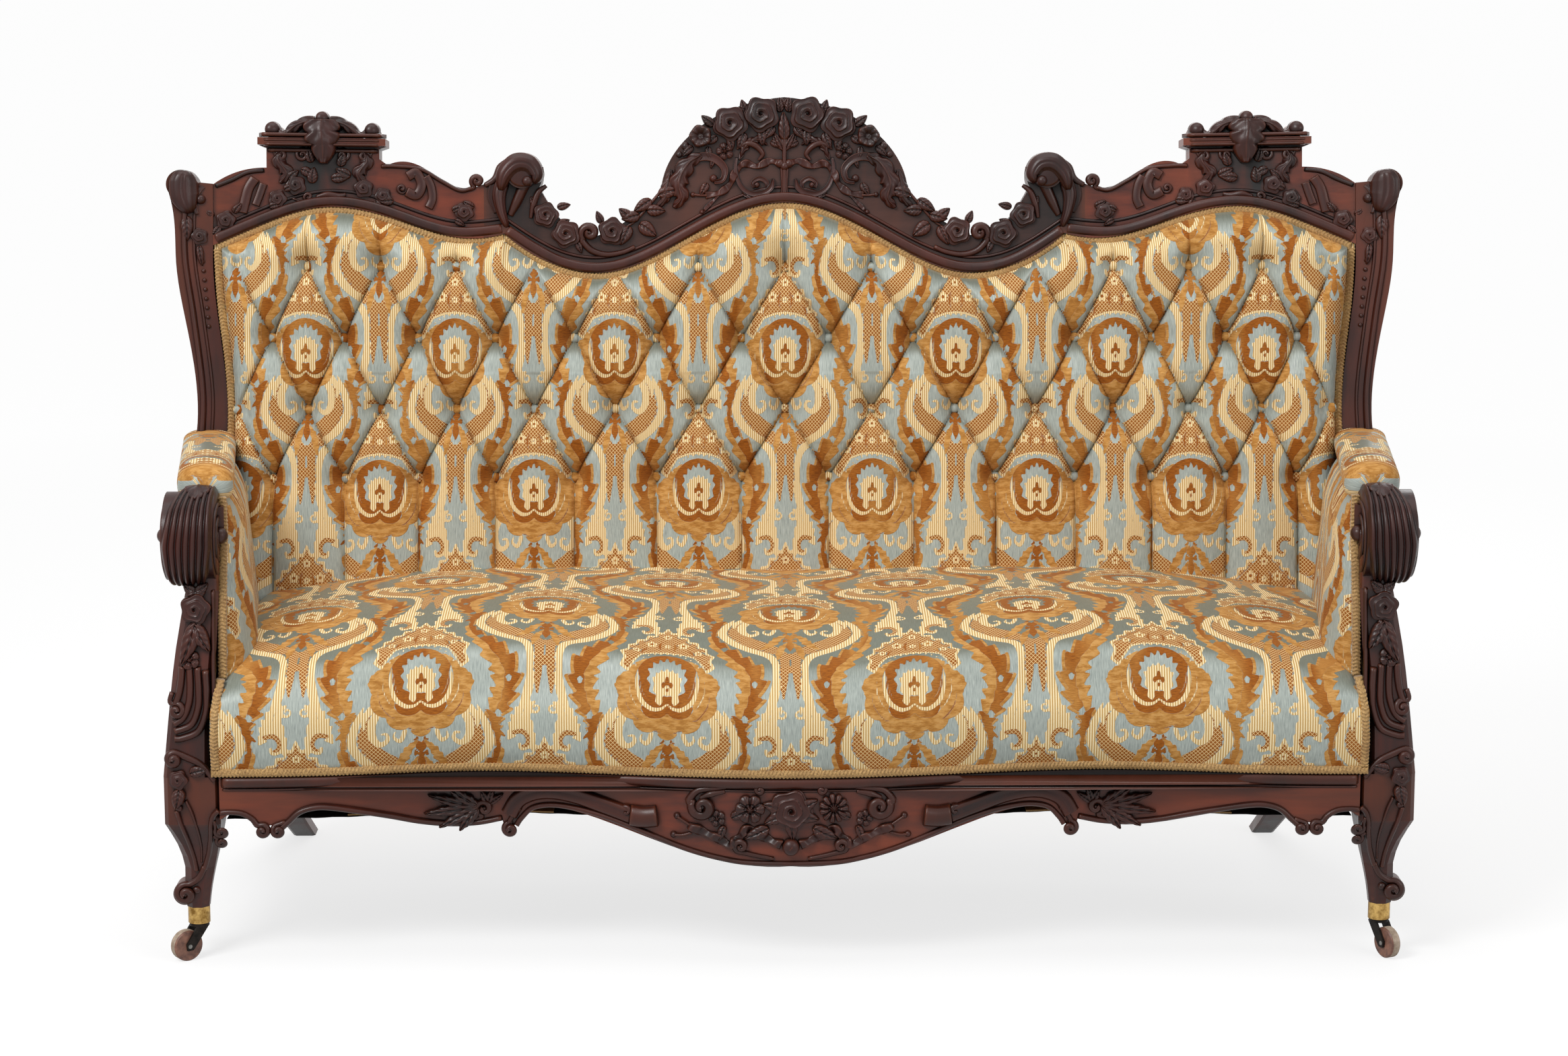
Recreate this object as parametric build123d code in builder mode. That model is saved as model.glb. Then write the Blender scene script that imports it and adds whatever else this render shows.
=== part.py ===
"""Carved rococo-revival settee with a bowed, deep-buttoned back, a sprung seat and front casters.

Millimetres, +Z up, +X to the sitter's left as seen from the front, -Y towards the front.
The origin is on the floor, midway between the front of the apron and the back of the crest.
"""
import os
from math import atan2, cos, degrees, hypot, pi, radians, sin, sqrt

from build123d import *

os.makedirs("parts", exist_ok=True)

# Overall plan and levels
DEPTH = 800.0  # front of the apron to the back of the crest
LEG_X = 836.0  # caster axis from the centre line
LEG_Y = -340.0  # caster axis, fore and aft
RAIL_TOP = 272.0  # seat rails carry the upholstery at this level
RAIL_BOTTOM = 202.0  # underside of the side and rear rails
RAIL_T = 40.0  # thickness of the side and rear rails
CLEAR = 0.3  # gap between soft or curved neighbours

# Raked and bowed back
RAKE = 8.0  # degrees from upright
BOW = 119.0  # how far the middle of the back lies behind the stiles
FRAME_T = 45.0  # thickness of the back frame
BACK_Z = 450.0  # level from which heights up the rake are measured
STILE_X = 874.0  # middle of a stile at arm height
STILE_W = 44.0  # width of a stile below the arm
STILE_PROUD = 8.0  # a stile stands this far in front of the crest
CREST_PEAK = 744.0  # top of the centre crest, up the rake
CREST_JOINT = 464.0  # glued joint between the centre and side crests
BEAD_H = 15.0  # height of the bead along the lower edge of the crest
BEAD_PROUD = 9.0  # how far that bead stands out
PEDESTAL_IN = 162.0  # middle of a side pedestal, measured in from the stile
PEDESTAL_HALF = 95.0  # half length of its cornice
CORNICE_LOW, CORNICE_HIGH = 660.0, 675.0  # cornice, up the rake
CORNICE_PROUD = 18.0
BALL_R = 12.0  # ball finials on the cornice
VOLUTE_X, VOLUTE_V, VOLUTE_R = 405.0, 625.0, 29.0  # large volutes beside the valleys

# Seat rails
APRON_T = 45.0
APRON_END_Y = -383.0  # front of the apron beside the legs
APRON_HOLLOW_X, APRON_HOLLOW_Y = 430.0, -350.0
APRON_DROP = 147.0  # underside of the carved middle of the apron

# Front legs, arms and rear legs
LEG_TOP_IN, LEG_TOP_OUT = 39.0, 39.0  # leg block, from the caster axis
LEG_TOP_FRONT, LEG_TOP_BACK = 40.0, 36.0
LEG_BLOCK_Z = 204.0  # the leg is square above this
FOOT_Z = 77.0  # underside of the carved foot, on the ferrule
FOOT_R = 15.5
ARM_SEAT_Z = 530.0  # the arm sits on the post here
SCROLL_R, SCROLL_Z = 61.0, 604.0
SCROLL_IN, SCROLL_OUT = 36.0, 30.0  # scroll faces, from the caster axis
SCROLL_Y = -322.0
ARM_W, ARM_LOW, ARM_HIGH = 46.0, 612.0, 644.0
ARM_PAD_W, ARM_PAD_H = 76.0, 48.0
REAR_FOOT_X, REAR_FOOT_Y = 766.0, 345.0
REAR_FOOT_W, REAR_FOOT_D = 34.0, 44.0
REAR_LEG_X, REAR_LEG_Y = 806.0, 156.0
REAR_LEG_W, REAR_LEG_D = 64.0, 44.0

# Upholstery
BACK_PAD_T = 62.0  # pad in front of the frame
BACK_PAD_IN = 18.0  # pad set into the frame
SEAT_CROWN = 468.0
SEAT_HALF = 796.0
SEAT_ROUND = 26.0  # the seat's front edge is drawn in by this much
PAD_EDGE, PAD_EDGE_DEEP = 36.0, 26.0  # the back pad is drawn in along its rim
ARM_INSIDE_X = 772.0  # inner face of the inside arm pads
BUTTON_R, BUTTON_H = 9.0, 6.0
TUFT_STEP, TUFT_CLOSE = 68.0, 0.62  # half the pitch along a row, and how it closes up
TUFT_LOW = -15.0  # pleats run down to here, behind the seat
TUFT_ROWS = (157.0, 262.0, 371.0, 480.0)  # rows of buttons, up the rake
TUFT_DEPTH = 26.0
PLEAT_D = 11.0

INSIDE_ARM_T = 52.0  # inside arm pad, through its thickness

# Hidden back frame
LOWER_RAIL_V, LOWER_RAIL_H = 15.0, 50.0
STAY_X, STAY_W = 290.0, 44.0

# Springing
BLOCK_LOW = 216.0  # underside of the corner blocks
SPRING_MID_Y = -135.0  # middle of the two rows of springs
SPRING_R, SPRING_WAIST, SPRING_WIRE, SPRING_TURNS = 45.0, 33.0, 4.0, 3.0
SPRING_COLUMNS, SPRING_ROWS = 6, 2
SPRING_PITCH_X, SPRING_PITCH_Y = 240.0, 190.0
WEB_W, WEB_T = 50.0, 2.0
SPRING_HEIGHT = 131.0
HESSIAN_T = 2.0
COVER_T = 3.0  # outside covers

# Casters
WHEEL_R, WHEEL_W = 22.0, 15.0
TRAIL = 21.0
TRAIL_ANGLE = {"left": 215.0, "right": 298.0}  # heading from the swivel axis to the wheel
FERRULE_T, FERRULE_BASE = 1.6, 5.0
FERRULE_H = 24.0
PINTLE_R = 4.0
RUNNING = 0.05  # radial clearance of the running fits
AXLE_R = 3.0
CHEEK_T = 3.5
CHEEK_GAP = 0.8
FORK_PLATE = 4.5
FORK_R = 14.0

# Worked out from the above
rake = radians(RAKE)
APRON_FRONT = -DEPTH / 2
BACK_Y = DEPTH / 2 - (BOW + FRAME_T) * cos(rake) - CREST_PEAK * sin(rake)
STILE_IN = STILE_X - 6.0
STILE_IN_LOW = STILE_X - STILE_W / 2
BOW_R = (STILE_X**2 + BOW**2) / (2 * BOW)
SIDES = (("left", -1), ("right", 1))
SPRING_LOW = RAIL_BOTTOM + 2 * (WEB_T + CLEAR) + CLEAR
INSIDE_ARM_LOW = SEAT_CROWN - 12.0
HESSIAN_Z = SPRING_LOW + SPRING_HEIGHT + CLEAR

BACK = Plane(origin=(0, BACK_Y, BACK_Z), x_dir=(1, 0, 0), z_dir=(0, -cos(rake), sin(rake)))


def bow(x):
    """How far the frame's front face lies behind the stiles at x."""
    return sqrt(BOW_R**2 - x**2) - (BOW_R - BOW)


def up_rake(level, x=0.0, q=0.0):
    """Height up the rake at which the surface q behind the stile line meets a level."""
    return (level - BACK_Z + (bow(x) + q) * sin(rake)) / cos(rake)


def bow_band(front, rear, low, high, half=1000.0):
    """A curved slab between two depths behind the frame's front face."""
    across = Plane(BACK.origin + BACK.y_dir * low, x_dir=(1, 0, 0), z_dir=BACK.y_dir)
    end = bow(half)
    with BuildPart() as band:
        with BuildSketch(across):
            with BuildLine():
                ThreePointArc((-half, end + front), (0, BOW + front), (half, end + front))
                Line((half, end + front), (half, end + rear))
                ThreePointArc((half, end + rear), (0, BOW + rear), (-half, end + rear))
                Line((-half, end + rear), (-half, end + front))
            make_face()
        extrude(amount=high - low)
    return band.part


def save(part, name):
    """Write one piece under its own name."""
    part.label = name
    export_step(part, f"parts/{name}.step")
    print(f"{name:24s} {len(part.solids())} solids {part.volume / 1000:10.1f} cm3")


def crest_lower(line_up=0.0):
    """Lower edge of the crest, left stile to right stile, moved up by line_up."""
    centre = [(-432, 532), (-350, 483), (-274, 473), (-150, 527), (0, 581)]
    side = [(STILE_IN - 868 + 800, 542), (STILE_IN - 868 + 705, 571), (600, 554), (511, 527), (432, 532)]
    shift = lambda points: [(x, v + line_up) for x, v in points]
    left = shift([(-STILE_IN, 511)] + [(-x, v) for x, v in side])
    middle = shift(centre + [(-x, v) for x, v in reversed(centre[:-1])])
    right = [(-x, v) for x, v in reversed(left)]
    Spline(*left)
    Spline(*middle)
    Spline(*right)
    return left[0], right[-1]


def crest_upper():
    """Upper edge of the crest, right stile to left stile."""
    half = [(0, CREST_PEAK), (60, 733), (127, 701), (178, 645), (192, 592)]
    valley = [(192, 592), (246, 552), (311, 529), (352, 561), (379, 604)]
    shoulder = [(440, 628), (464, 608), (497, 602), (560, 635), (610, 636)]
    middle = STILE_IN - PEDESTAL_IN
    for sign in (1, -1):
        side = lambda points: [(sign * x, v) for x, v in points]
        Spline(*side(half))
        Spline(*side(valley))
        ThreePointArc(*side([(379, 604), (403, VOLUTE_V + VOLUTE_R), (440, 628)]))
        Spline(*side(shoulder))
        Polyline(*side([(610, 636), (middle - 84, 645), (middle - 84, CORNICE_LOW),
                        (middle - PEDESTAL_HALF, CORNICE_LOW + 4), (middle - PEDESTAL_HALF, CORNICE_HIGH),
                        (middle - 60, CORNICE_HIGH)]))
        ThreePointArc(*side([(middle - 60, CORNICE_HIGH), (middle, 705), (middle + 60, CORNICE_HIGH)]))
        Polyline(*side([(middle + 60, CORNICE_HIGH), (middle + PEDESTAL_HALF, CORNICE_HIGH),
                        (middle + PEDESTAL_HALF, CORNICE_LOW + 4), (middle + 84, CORNICE_LOW),
                        (middle + 84, 630)]))
        Spline(*side([(middle + 84, 630), (middle + 124, 624), (STILE_IN, 604)]))
        Line(*side([(STILE_IN, 604), (STILE_IN, 511)]))


# Crest: one carved outline on the bow, sawn into a centre and two sides
with BuildPart() as crest:
    with BuildSketch(BACK):
        with BuildLine():
            crest_lower()
            crest_upper()
        make_face()
        for sign in (-1, 1):
            with Locations((sign * (STILE_IN - PEDESTAL_IN), CORNICE_HIGH + BALL_R - 3)):
                with GridLocations(144, 0, 2, 1):
                    Circle(BALL_R)
    extrude(amount=400, both=True)
    add(bow_band(0, FRAME_T, 400, CREST_PEAK + 60), mode=Mode.INTERSECT)
with BuildPart() as bead:
    with BuildSketch(BACK):
        with BuildLine():
            low_left, low_right = crest_lower()
            high_left, high_right = crest_lower(BEAD_H)
            Line(low_left, high_left)
            Line(low_right, high_right)
        make_face()
    extrude(amount=400, both=True)
    add(bow_band(-BEAD_PROUD, 1, 400, CREST_PEAK + 60), mode=Mode.INTERSECT)
with BuildPart() as relief:
    for sign in (-1, 1):
        middle = sign * (STILE_IN - PEDESTAL_IN)
        with BuildSketch(BACK):
            with Locations((middle, (CORNICE_LOW + CORNICE_HIGH) / 2 + 2)):
                Rectangle(2 * PEDESTAL_HALF, CORNICE_HIGH - CORNICE_LOW - 4)
            with Locations((sign * VOLUTE_X, VOLUTE_V)):
                Circle(VOLUTE_R - 5)
        extrude(amount=400, both=True)
    add(bow_band(-CORNICE_PROUD, 1, 400, CREST_PEAK + 60), mode=Mode.INTERSECT)
with BuildPart() as crest_whole:
    add(crest.part)
    add(bead.part)
    add(relief.part)
for name, low, high in (("left", -2000, -CREST_JOINT), ("center", -CREST_JOINT, CREST_JOINT), ("right", CREST_JOINT, 2000)):
    with BuildPart() as piece:
        add(crest_whole.part)
        with Locations(((low + high) / 2, 0, 1000)):
            Box(high - low, 2000, 2000, mode=Mode.INTERSECT)
    save(piece.part, f"crest_{name}")


def mirrored(points, side):
    """Points for the left side, or their mirror image for the right."""
    return [(-side * x, y) for x, y in points]


# Back stiles, carved into an ear at the top
pad_low = up_rake(RAIL_TOP) - 60
stile_foot = up_rake(RAIL_TOP) - 60
for name, side in SIDES:
    outer = [(STILE_X + 23, 207), (STILE_X + 19, 290), (STILE_X + 35, 398), (STILE_X + 48, 485),
             (STILE_X + 50, 545), (STILE_X + 58, 590)]
    inner = [(STILE_IN, 511), (STILE_X - 10, 420), (STILE_X - 22, 321), (STILE_IN_LOW, 207)]
    with BuildPart() as stile:
        with BuildSketch(BACK):
            with BuildLine():
                Line((side * (STILE_X + 23), stile_foot), (side * (STILE_X + 23), 207))
                Spline(*[(side * x, v) for x, v in outer])
                ThreePointArc((side * (STILE_X + 58), 590), (side * (STILE_X + 50), 622), (side * (STILE_X + 18), 606))
                Polyline((side * (STILE_X + 18), 606), (side * STILE_IN, 604), (side * STILE_IN, 511))
                Spline(*[(side * x, v) for x, v in inner])
                Line((side * STILE_IN_LOW, 207), (side * STILE_IN_LOW, stile_foot))
                Line((side * STILE_IN_LOW, stile_foot), (side * (STILE_X + 23), stile_foot))
            make_face()
        extrude(amount=400, both=True)
        add(bow_band(-STILE_PROUD, FRAME_T, stile_foot - 10, 700), mode=Mode.INTERSECT)
        with Locations((0, 0, RAIL_TOP + 1000)):
            Box(4000, 4000, 2000, mode=Mode.INTERSECT)
    save(stile.part, f"stile_{name}")


def rail_inner(y, side=-1):
    """Inner face of a side rail, which flares outwards to the back."""
    rear = STILE_IN_LOW + 2.0
    return side * (SIDE_FRONT_IN + (rear - SIDE_FRONT_IN) * (y - SIDE_FRONT_Y) / (SIDE_REAR_Y - SIDE_FRONT_Y))


SIDE_FRONT_Y = LEG_Y + LEG_TOP_BACK
SIDE_FRONT_IN = LEG_X - 15.0
SIDE_REAR_Y = BACK_Y + FRAME_T - 20.0
REAR_END_Y = SIDE_REAR_Y - 48.0  # front of the rear rail beside the side rails

# Side rails
for name, side in SIDES:
    front_in, rear_in = rail_inner(SIDE_FRONT_Y, side), rail_inner(SIDE_REAR_Y, side)
    with BuildPart() as side_rail:
        with BuildSketch(Plane.XY.offset(RAIL_BOTTOM)):
            with BuildLine():
                Polyline((front_in, SIDE_FRONT_Y), (rear_in, SIDE_REAR_Y), (rear_in + side * RAIL_T, SIDE_REAR_Y),
                         (front_in + side * RAIL_T, SIDE_FRONT_Y), close=True)
            make_face()
        extrude(amount=RAIL_TOP - RAIL_BOTTOM)
    save(side_rail.part, f"side_rail_{name}")

# Rear rail, bowed like the back
with BuildPart() as rear_rail:
    with BuildSketch(Plane.XY.offset(RAIL_BOTTOM)):
        with BuildLine():
            near, far = REAR_END_Y, REAR_END_Y + RAIL_T
            ThreePointArc((rail_inner(near), near), (0, near + BOW), (-rail_inner(near), near))
            Line((-rail_inner(near), near), (-rail_inner(far), far))
            ThreePointArc((-rail_inner(far), far), (0, far + BOW), (rail_inner(far), far))
            Line((rail_inner(far), far), (rail_inner(near), near))
        make_face()
    extrude(amount=RAIL_TOP - RAIL_BOTTOM)
save(rear_rail.part, "rear_rail")


def serpentine(shift=0.0, end=None):
    """Plan of the apron's front face, moved back by shift, left leg to right leg."""
    end = end or LEG_X - LEG_TOP_IN
    half = [(end, APRON_END_Y + shift), (APRON_HOLLOW_X, APRON_HOLLOW_Y + shift), (0, APRON_FRONT + shift)]
    points = [(-x, y) for x, y in half] + [(x, y) for x, y in reversed(half[:-1])]
    Spline(*points, tangents=[(1, 0), (1, 0)])
    return points[0], points[-1]


# Apron: a carved outline on a serpentine plan
with BuildPart() as front_rail:
    with BuildSketch(Plane.XY):
        with BuildLine():
            front_left, front_right = serpentine()
            back_left, back_right = serpentine(APRON_T)
            Line(front_left, back_left)
            Line(front_right, back_right)
        make_face()
    extrude(amount=RAIL_TOP)
    with BuildSketch(Plane.XZ.offset(1000)):
        end = LEG_X - LEG_TOP_IN
        with BuildLine():
            Line((-end, RAIL_TOP), (end, RAIL_TOP))
            for sign in (1, -1):
                edge = lambda points: [(sign * x, z) for x, z in points]
                Line(*edge([(end, RAIL_TOP), (end, 212)]))
                Spline(*edge([(end, 212), (760, 221), (738, 196)]))
                Spline(*edge([(738, 196), (726, 203), (715, 195)]))
                Spline(*edge([(715, 195), (690, 219), (640, 222), (540, 202), (461, 193), (406, 206)]))
                Spline(*edge([(406, 206), (396, 186), (384, 204)]))
                Spline(*edge([(384, 204), (345, 221), (279, 211), (178, 176), (69, 149), (0, APRON_DROP)]))
        make_face()
    extrude(amount=-2000, mode=Mode.INTERSECT)
save(front_rail.part, "front_rail")


def lofted(sections, x_side, between=2):
    """Solid through chamfered rectangles: level, inner x, outer x, front y, back y, chamfer."""
    steps = []
    last = len(sections) - 1
    for i in range(last):
        before, here, there, after = (sections[min(max(i + k, 0), last)] for k in (-1, 0, 1, 2))
        for j in range(between + (i == last - 1)):
            t = j / between
            steps.append([b + t / 2 * (c - a + t * (2 * a - 5 * b + 4 * c - d + t * (3 * (b - c) + d - a)))
                          for a, b, c, d in zip(before, here, there, after)])
    with BuildPart() as solid:
        for level, x_in, x_out, front, back, cut in steps:
            w, d = (x_out - x_in) / 2, (back - front) / 2
            corners = [(w, d - cut), (w - cut, d), (cut - w, d), (-w, d - cut),
                       (-w, cut - d), (cut - w, -d), (w - cut, -d), (w, cut - d)]
            with BuildSketch(Plane.XY.offset(level)):
                with Locations((x_side * (x_in + x_out) / 2, (front + back) / 2)):
                    Polygon(*corners, align=None)
        loft(ruled=True)
    return solid.part


# Front legs and arm posts
for name, side in SIDES:
    block = (LEG_X - LEG_TOP_IN, LEG_X + LEG_TOP_OUT, LEG_Y - LEG_TOP_FRONT, LEG_Y + LEG_TOP_BACK)
    with BuildPart() as front_leg:
        add(lofted([
            (FOOT_Z, LEG_X - FOOT_R, LEG_X + FOOT_R, LEG_Y - FOOT_R, LEG_Y + FOOT_R, FOOT_R * 0.58),
            (104, LEG_X - 19, LEG_X + 18, LEG_Y - 18, LEG_Y + 19, 10),
            (135, LEG_X - 25, LEG_X + 17, LEG_Y - 16, LEG_Y + 26, 10),
            (170, LEG_X - 33, LEG_X + 25, LEG_Y - 24, LEG_Y + 31, 8),
            (LEG_BLOCK_Z, *block, 6),
        ], side))
        add(lofted([(LEG_BLOCK_Z, *block, 6), (RAIL_TOP, *block, 6)], side, 1))
        with Locations(Pos(side * (LEG_X + 17), LEG_Y, 98) * Rot(90, 0, 0)):
            Cylinder(16, 36)
        with Locations((side * LEG_X, LEG_Y, FOOT_Z)):
            Cylinder(FOOT_R - FERRULE_T - 0.2, FERRULE_H - FERRULE_BASE - 0.4,
                     align=(Align.CENTER, Align.CENTER, Align.MAX))
    save(front_leg.part, f"front_leg_{name}")
    with BuildPart() as arm_post:
        add(lofted([
            (RAIL_TOP, LEG_X - 24, LEG_X + 39, LEG_Y - 40, LEG_Y + 30, 5),
            (330, LEG_X - 26, LEG_X + 33, LEG_Y - 38, LEG_Y + 28, 6),
            (390, LEG_X - 29, LEG_X + 27, LEG_Y - 31, LEG_Y + 22, 7),
            (450, LEG_X - 36, LEG_X + 20, LEG_Y - 20, LEG_Y + 29, 8),
            (ARM_SEAT_Z, LEG_X - 40, LEG_X + 6, LEG_Y - 8, LEG_Y + 42, 8),
        ], side))
    save(arm_post.part, f"arm_post_{name}")

# Arms: a scroll end and a rail back to the stile
arm_front = (LEG_X - 24.0, SCROLL_Y)
arm_stile_y = BACK_Y + (ARM_LOW + ARM_HIGH - 2 * BACK_Z) / 2 * sin(rake) / cos(rake) - STILE_PROUD
arm_rear = (STILE_X, arm_stile_y + 10)
arm_heading = degrees(atan2(arm_rear[1] - arm_front[1], arm_rear[0] - arm_front[0]))
arm_length = hypot(arm_rear[0] - arm_front[0], arm_rear[1] - arm_front[1])
stile_front = bow_band(-STILE_PROUD, 300, -300, 700)
scroll_middle = LEG_X + (SCROLL_OUT - SCROLL_IN) / 2
scroll_place = {side: Pos(side * scroll_middle, SCROLL_Y, SCROLL_Z) * Rot(0, 90, 0) for name, side in SIDES}
pad_zone = bow_band(-BACK_PAD_T - CLEAR, 300, -300, 700, STILE_IN_LOW - 1 + CLEAR)
for name, side in SIDES:
    heading = arm_heading if side > 0 else 180 - arm_heading
    along = Pos(side * arm_front[0], arm_front[1], ARM_LOW) * Rot(0, 0, heading)
    with BuildPart() as arm:
        with Locations(along):
            Box(arm_length + 30, ARM_W, ARM_HIGH - ARM_LOW, align=(Align.MIN, Align.CENTER, Align.MIN))
        add(stile_front, mode=Mode.SUBTRACT)
        add(pad_zone, mode=Mode.SUBTRACT)
        with Locations(scroll_place[side]):
            Cylinder(SCROLL_R, SCROLL_IN + SCROLL_OUT)
        with BuildSketch(Plane.XY.offset(ARM_SEAT_Z)):
            with Locations((side * (LEG_X - 17), LEG_Y + 17)):
                RectangleRounded(46, 50, 8)
        extrude(amount=SCROLL_Z - ARM_SEAT_Z)
    save(arm.part, f"arm_{name}")

# Rear legs, raked backwards and inwards
for name, side in SIDES:
    steps = []
    for level, share in ((0.0, 1.0), (70.0, 0.52), (140.0, 0.14), (RAIL_BOTTOM, 0.0)):
        x = REAR_LEG_X + (REAR_FOOT_X - REAR_LEG_X) * share
        y = REAR_LEG_Y + (REAR_FOOT_Y - REAR_LEG_Y) * share
        w = REAR_LEG_W + (REAR_FOOT_W - REAR_LEG_W) * share**0.5
        d = REAR_LEG_D + (REAR_FOOT_D - REAR_LEG_D) * share**0.5
        steps.append((level, x - w / 2, x + w / 2, y - d / 2, y + d / 2, 4))
    with BuildPart() as rear_leg:
        add(lofted(steps, side))
    save(rear_leg.part, f"rear_leg_{name}")


def inside_plan(inset, rear_level, rear_q):
    """Plan of the space between the seat rails, its back edge along the bowed back."""
    x_front = SIDE_FRONT_IN - inset - 18.0
    x_rear = STILE_IN_LOW - inset - 12.0
    lean = (rear_level - BACK_Z) * sin(rake) / cos(rake)
    y_side = BACK_Y + bow(x_rear) + rear_q + lean
    y_middle = BACK_Y + BOW + rear_q + lean
    front_left, front_right = serpentine(APRON_T + inset, x_front)
    Line(front_left, (-x_rear, y_side))
    ThreePointArc((-x_rear, y_side), (0, y_middle), (x_rear, y_side))
    Line((x_rear, y_side), front_right)


def web_plan(inset=0.3):
    """Plan of the well between the seat rails, clear of them by the inset."""
    near = REAR_END_Y - inset
    front_left, front_right = serpentine(APRON_T + inset, LEG_X - LEG_TOP_IN - inset)
    corner_x = LEG_X - LEG_TOP_IN - inset
    leg_back = SIDE_FRONT_Y + inset
    rear_x = abs(rail_inner(near)) - inset
    side_x = abs(rail_inner(leg_back)) - inset
    for sign in (-1, 1):
        Polyline((sign * corner_x, front_left[1]), (sign * corner_x, leg_back), (sign * side_x, leg_back),
                 (sign * rear_x, near))
    ThreePointArc((-rear_x, near), (0, near + BOW), (rear_x, near))


# Seat upholstery: crowned, drawn in at the sides, hollow over the springs
with BuildPart() as seat_pad:
    with BuildSketch(Plane.XY.offset(RAIL_TOP)):
        with BuildLine():
            front_left, front_right = serpentine(4.0, SEAT_HALF)
            Polyline(front_right, (SEAT_HALF + 26, 60), (SEAT_HALF + 26, 330), (-SEAT_HALF - 26, 330),
                     (-SEAT_HALF - 26, 60), front_left)
        make_face()
    extrude(amount=SEAT_CROWN - RAIL_TOP)
    with BuildSketch(Plane.YZ.offset(-1000)):
        with BuildLine():
            front = APRON_FRONT - 20
            Line((front, RAIL_TOP - 1), (front, SEAT_CROWN - 92))
            Spline((front, SEAT_CROWN - 92), (front + 60, SEAT_CROWN - 50), (front + 150, SEAT_CROWN - 14),
                   (front + 260, SEAT_CROWN), (front + 440, SEAT_CROWN - 3), (front + 780, SEAT_CROWN - 20))
            Polyline((front + 780, SEAT_CROWN - 20), (front + 780, RAIL_TOP - 1), (front, RAIL_TOP - 1))
        make_face()
    extrude(amount=2000, mode=Mode.INTERSECT)
    with BuildSketch(Plane.XZ.offset(1000)):
        with BuildLine():
            side = SEAT_HALF + 30
            Spline((-side, SEAT_CROWN - 27), (-side + 110, SEAT_CROWN - 10), (0, SEAT_CROWN + 1),
                   (side - 110, SEAT_CROWN - 10), (side, SEAT_CROWN - 27))
            Polyline((side, SEAT_CROWN - 27), (side, RAIL_TOP - 1), (-side, RAIL_TOP - 1), (-side, SEAT_CROWN - 27))
        make_face()
    extrude(amount=-2000, mode=Mode.INTERSECT)
    add(bow_band(-BACK_PAD_T - CLEAR, 300, -300, 100), mode=Mode.SUBTRACT)
    with BuildSketch(Plane.XY.offset(RAIL_TOP)):
        with BuildLine():
            inside_plan(14.0, RAIL_TOP, -BACK_PAD_T - 40)
        make_face()
    extrude(amount=HESSIAN_Z + HESSIAN_T + CLEAR - RAIL_TOP, mode=Mode.SUBTRACT)
    long_edges = [e for e in seat_pad.edges() if e.length > SEAT_HALF]
    chamfer([e for e in long_edges if (e @ 0.5).Z > SEAT_CROWN - 95 and (e @ 0.5).Y < LEG_Y], SEAT_ROUND)
save(seat_pad.part, "seat_pad")


def tuft_x(k):
    """Place of the k-th half step of buttons, closing up towards the stiles."""
    return (TUFT_STEP - TUFT_CLOSE * abs(k)) * k


def on_pad(x, v, q):
    """A plane square to the bowed back at (x, v), q behind the frame's front face."""
    turn = sqrt(1 - (x / BOW_R) ** 2)
    place = BACK.from_local_coords((x, v, -bow(x) - q))
    face = (-x / BOW_R, -turn * cos(rake), turn * sin(rake))
    return Plane(place, x_dir=BACK.y_dir.cross(Vector(*face)), z_dir=face)


buttons = []
for row, v in enumerate(TUFT_ROWS):
    for k in range(-13, 14):
        hidden = row == 3 and (4 <= abs(k) <= 6 or abs(k) > 12)
        if k % 2 == (row + 1) % 2 and not hidden:
            buttons.append((k, row, tuft_x(k), v))

pleats = []
for k, row, x, v in buttons:
    for step in (-1, 1):
        if row < 3 and abs(k + step) <= 13:
            pleats.append((x, v, tuft_x(k + step), TUFT_ROWS[row + 1]))
    if row == 0:
        pleats.append((x, v, x, TUFT_LOW))

# Covered buttons, one in each pit
with BuildPart() as back_buttons:
    for k, row, x, v in buttons:
        with BuildSketch(on_pad(x, v, TUFT_DEPTH - BACK_PAD_T - CLEAR)):
            RegularPolygon(BUTTON_R, 10)
        extrude(amount=BUTTON_H, taper=30)
save(back_buttons.part, "back_buttons")

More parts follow.
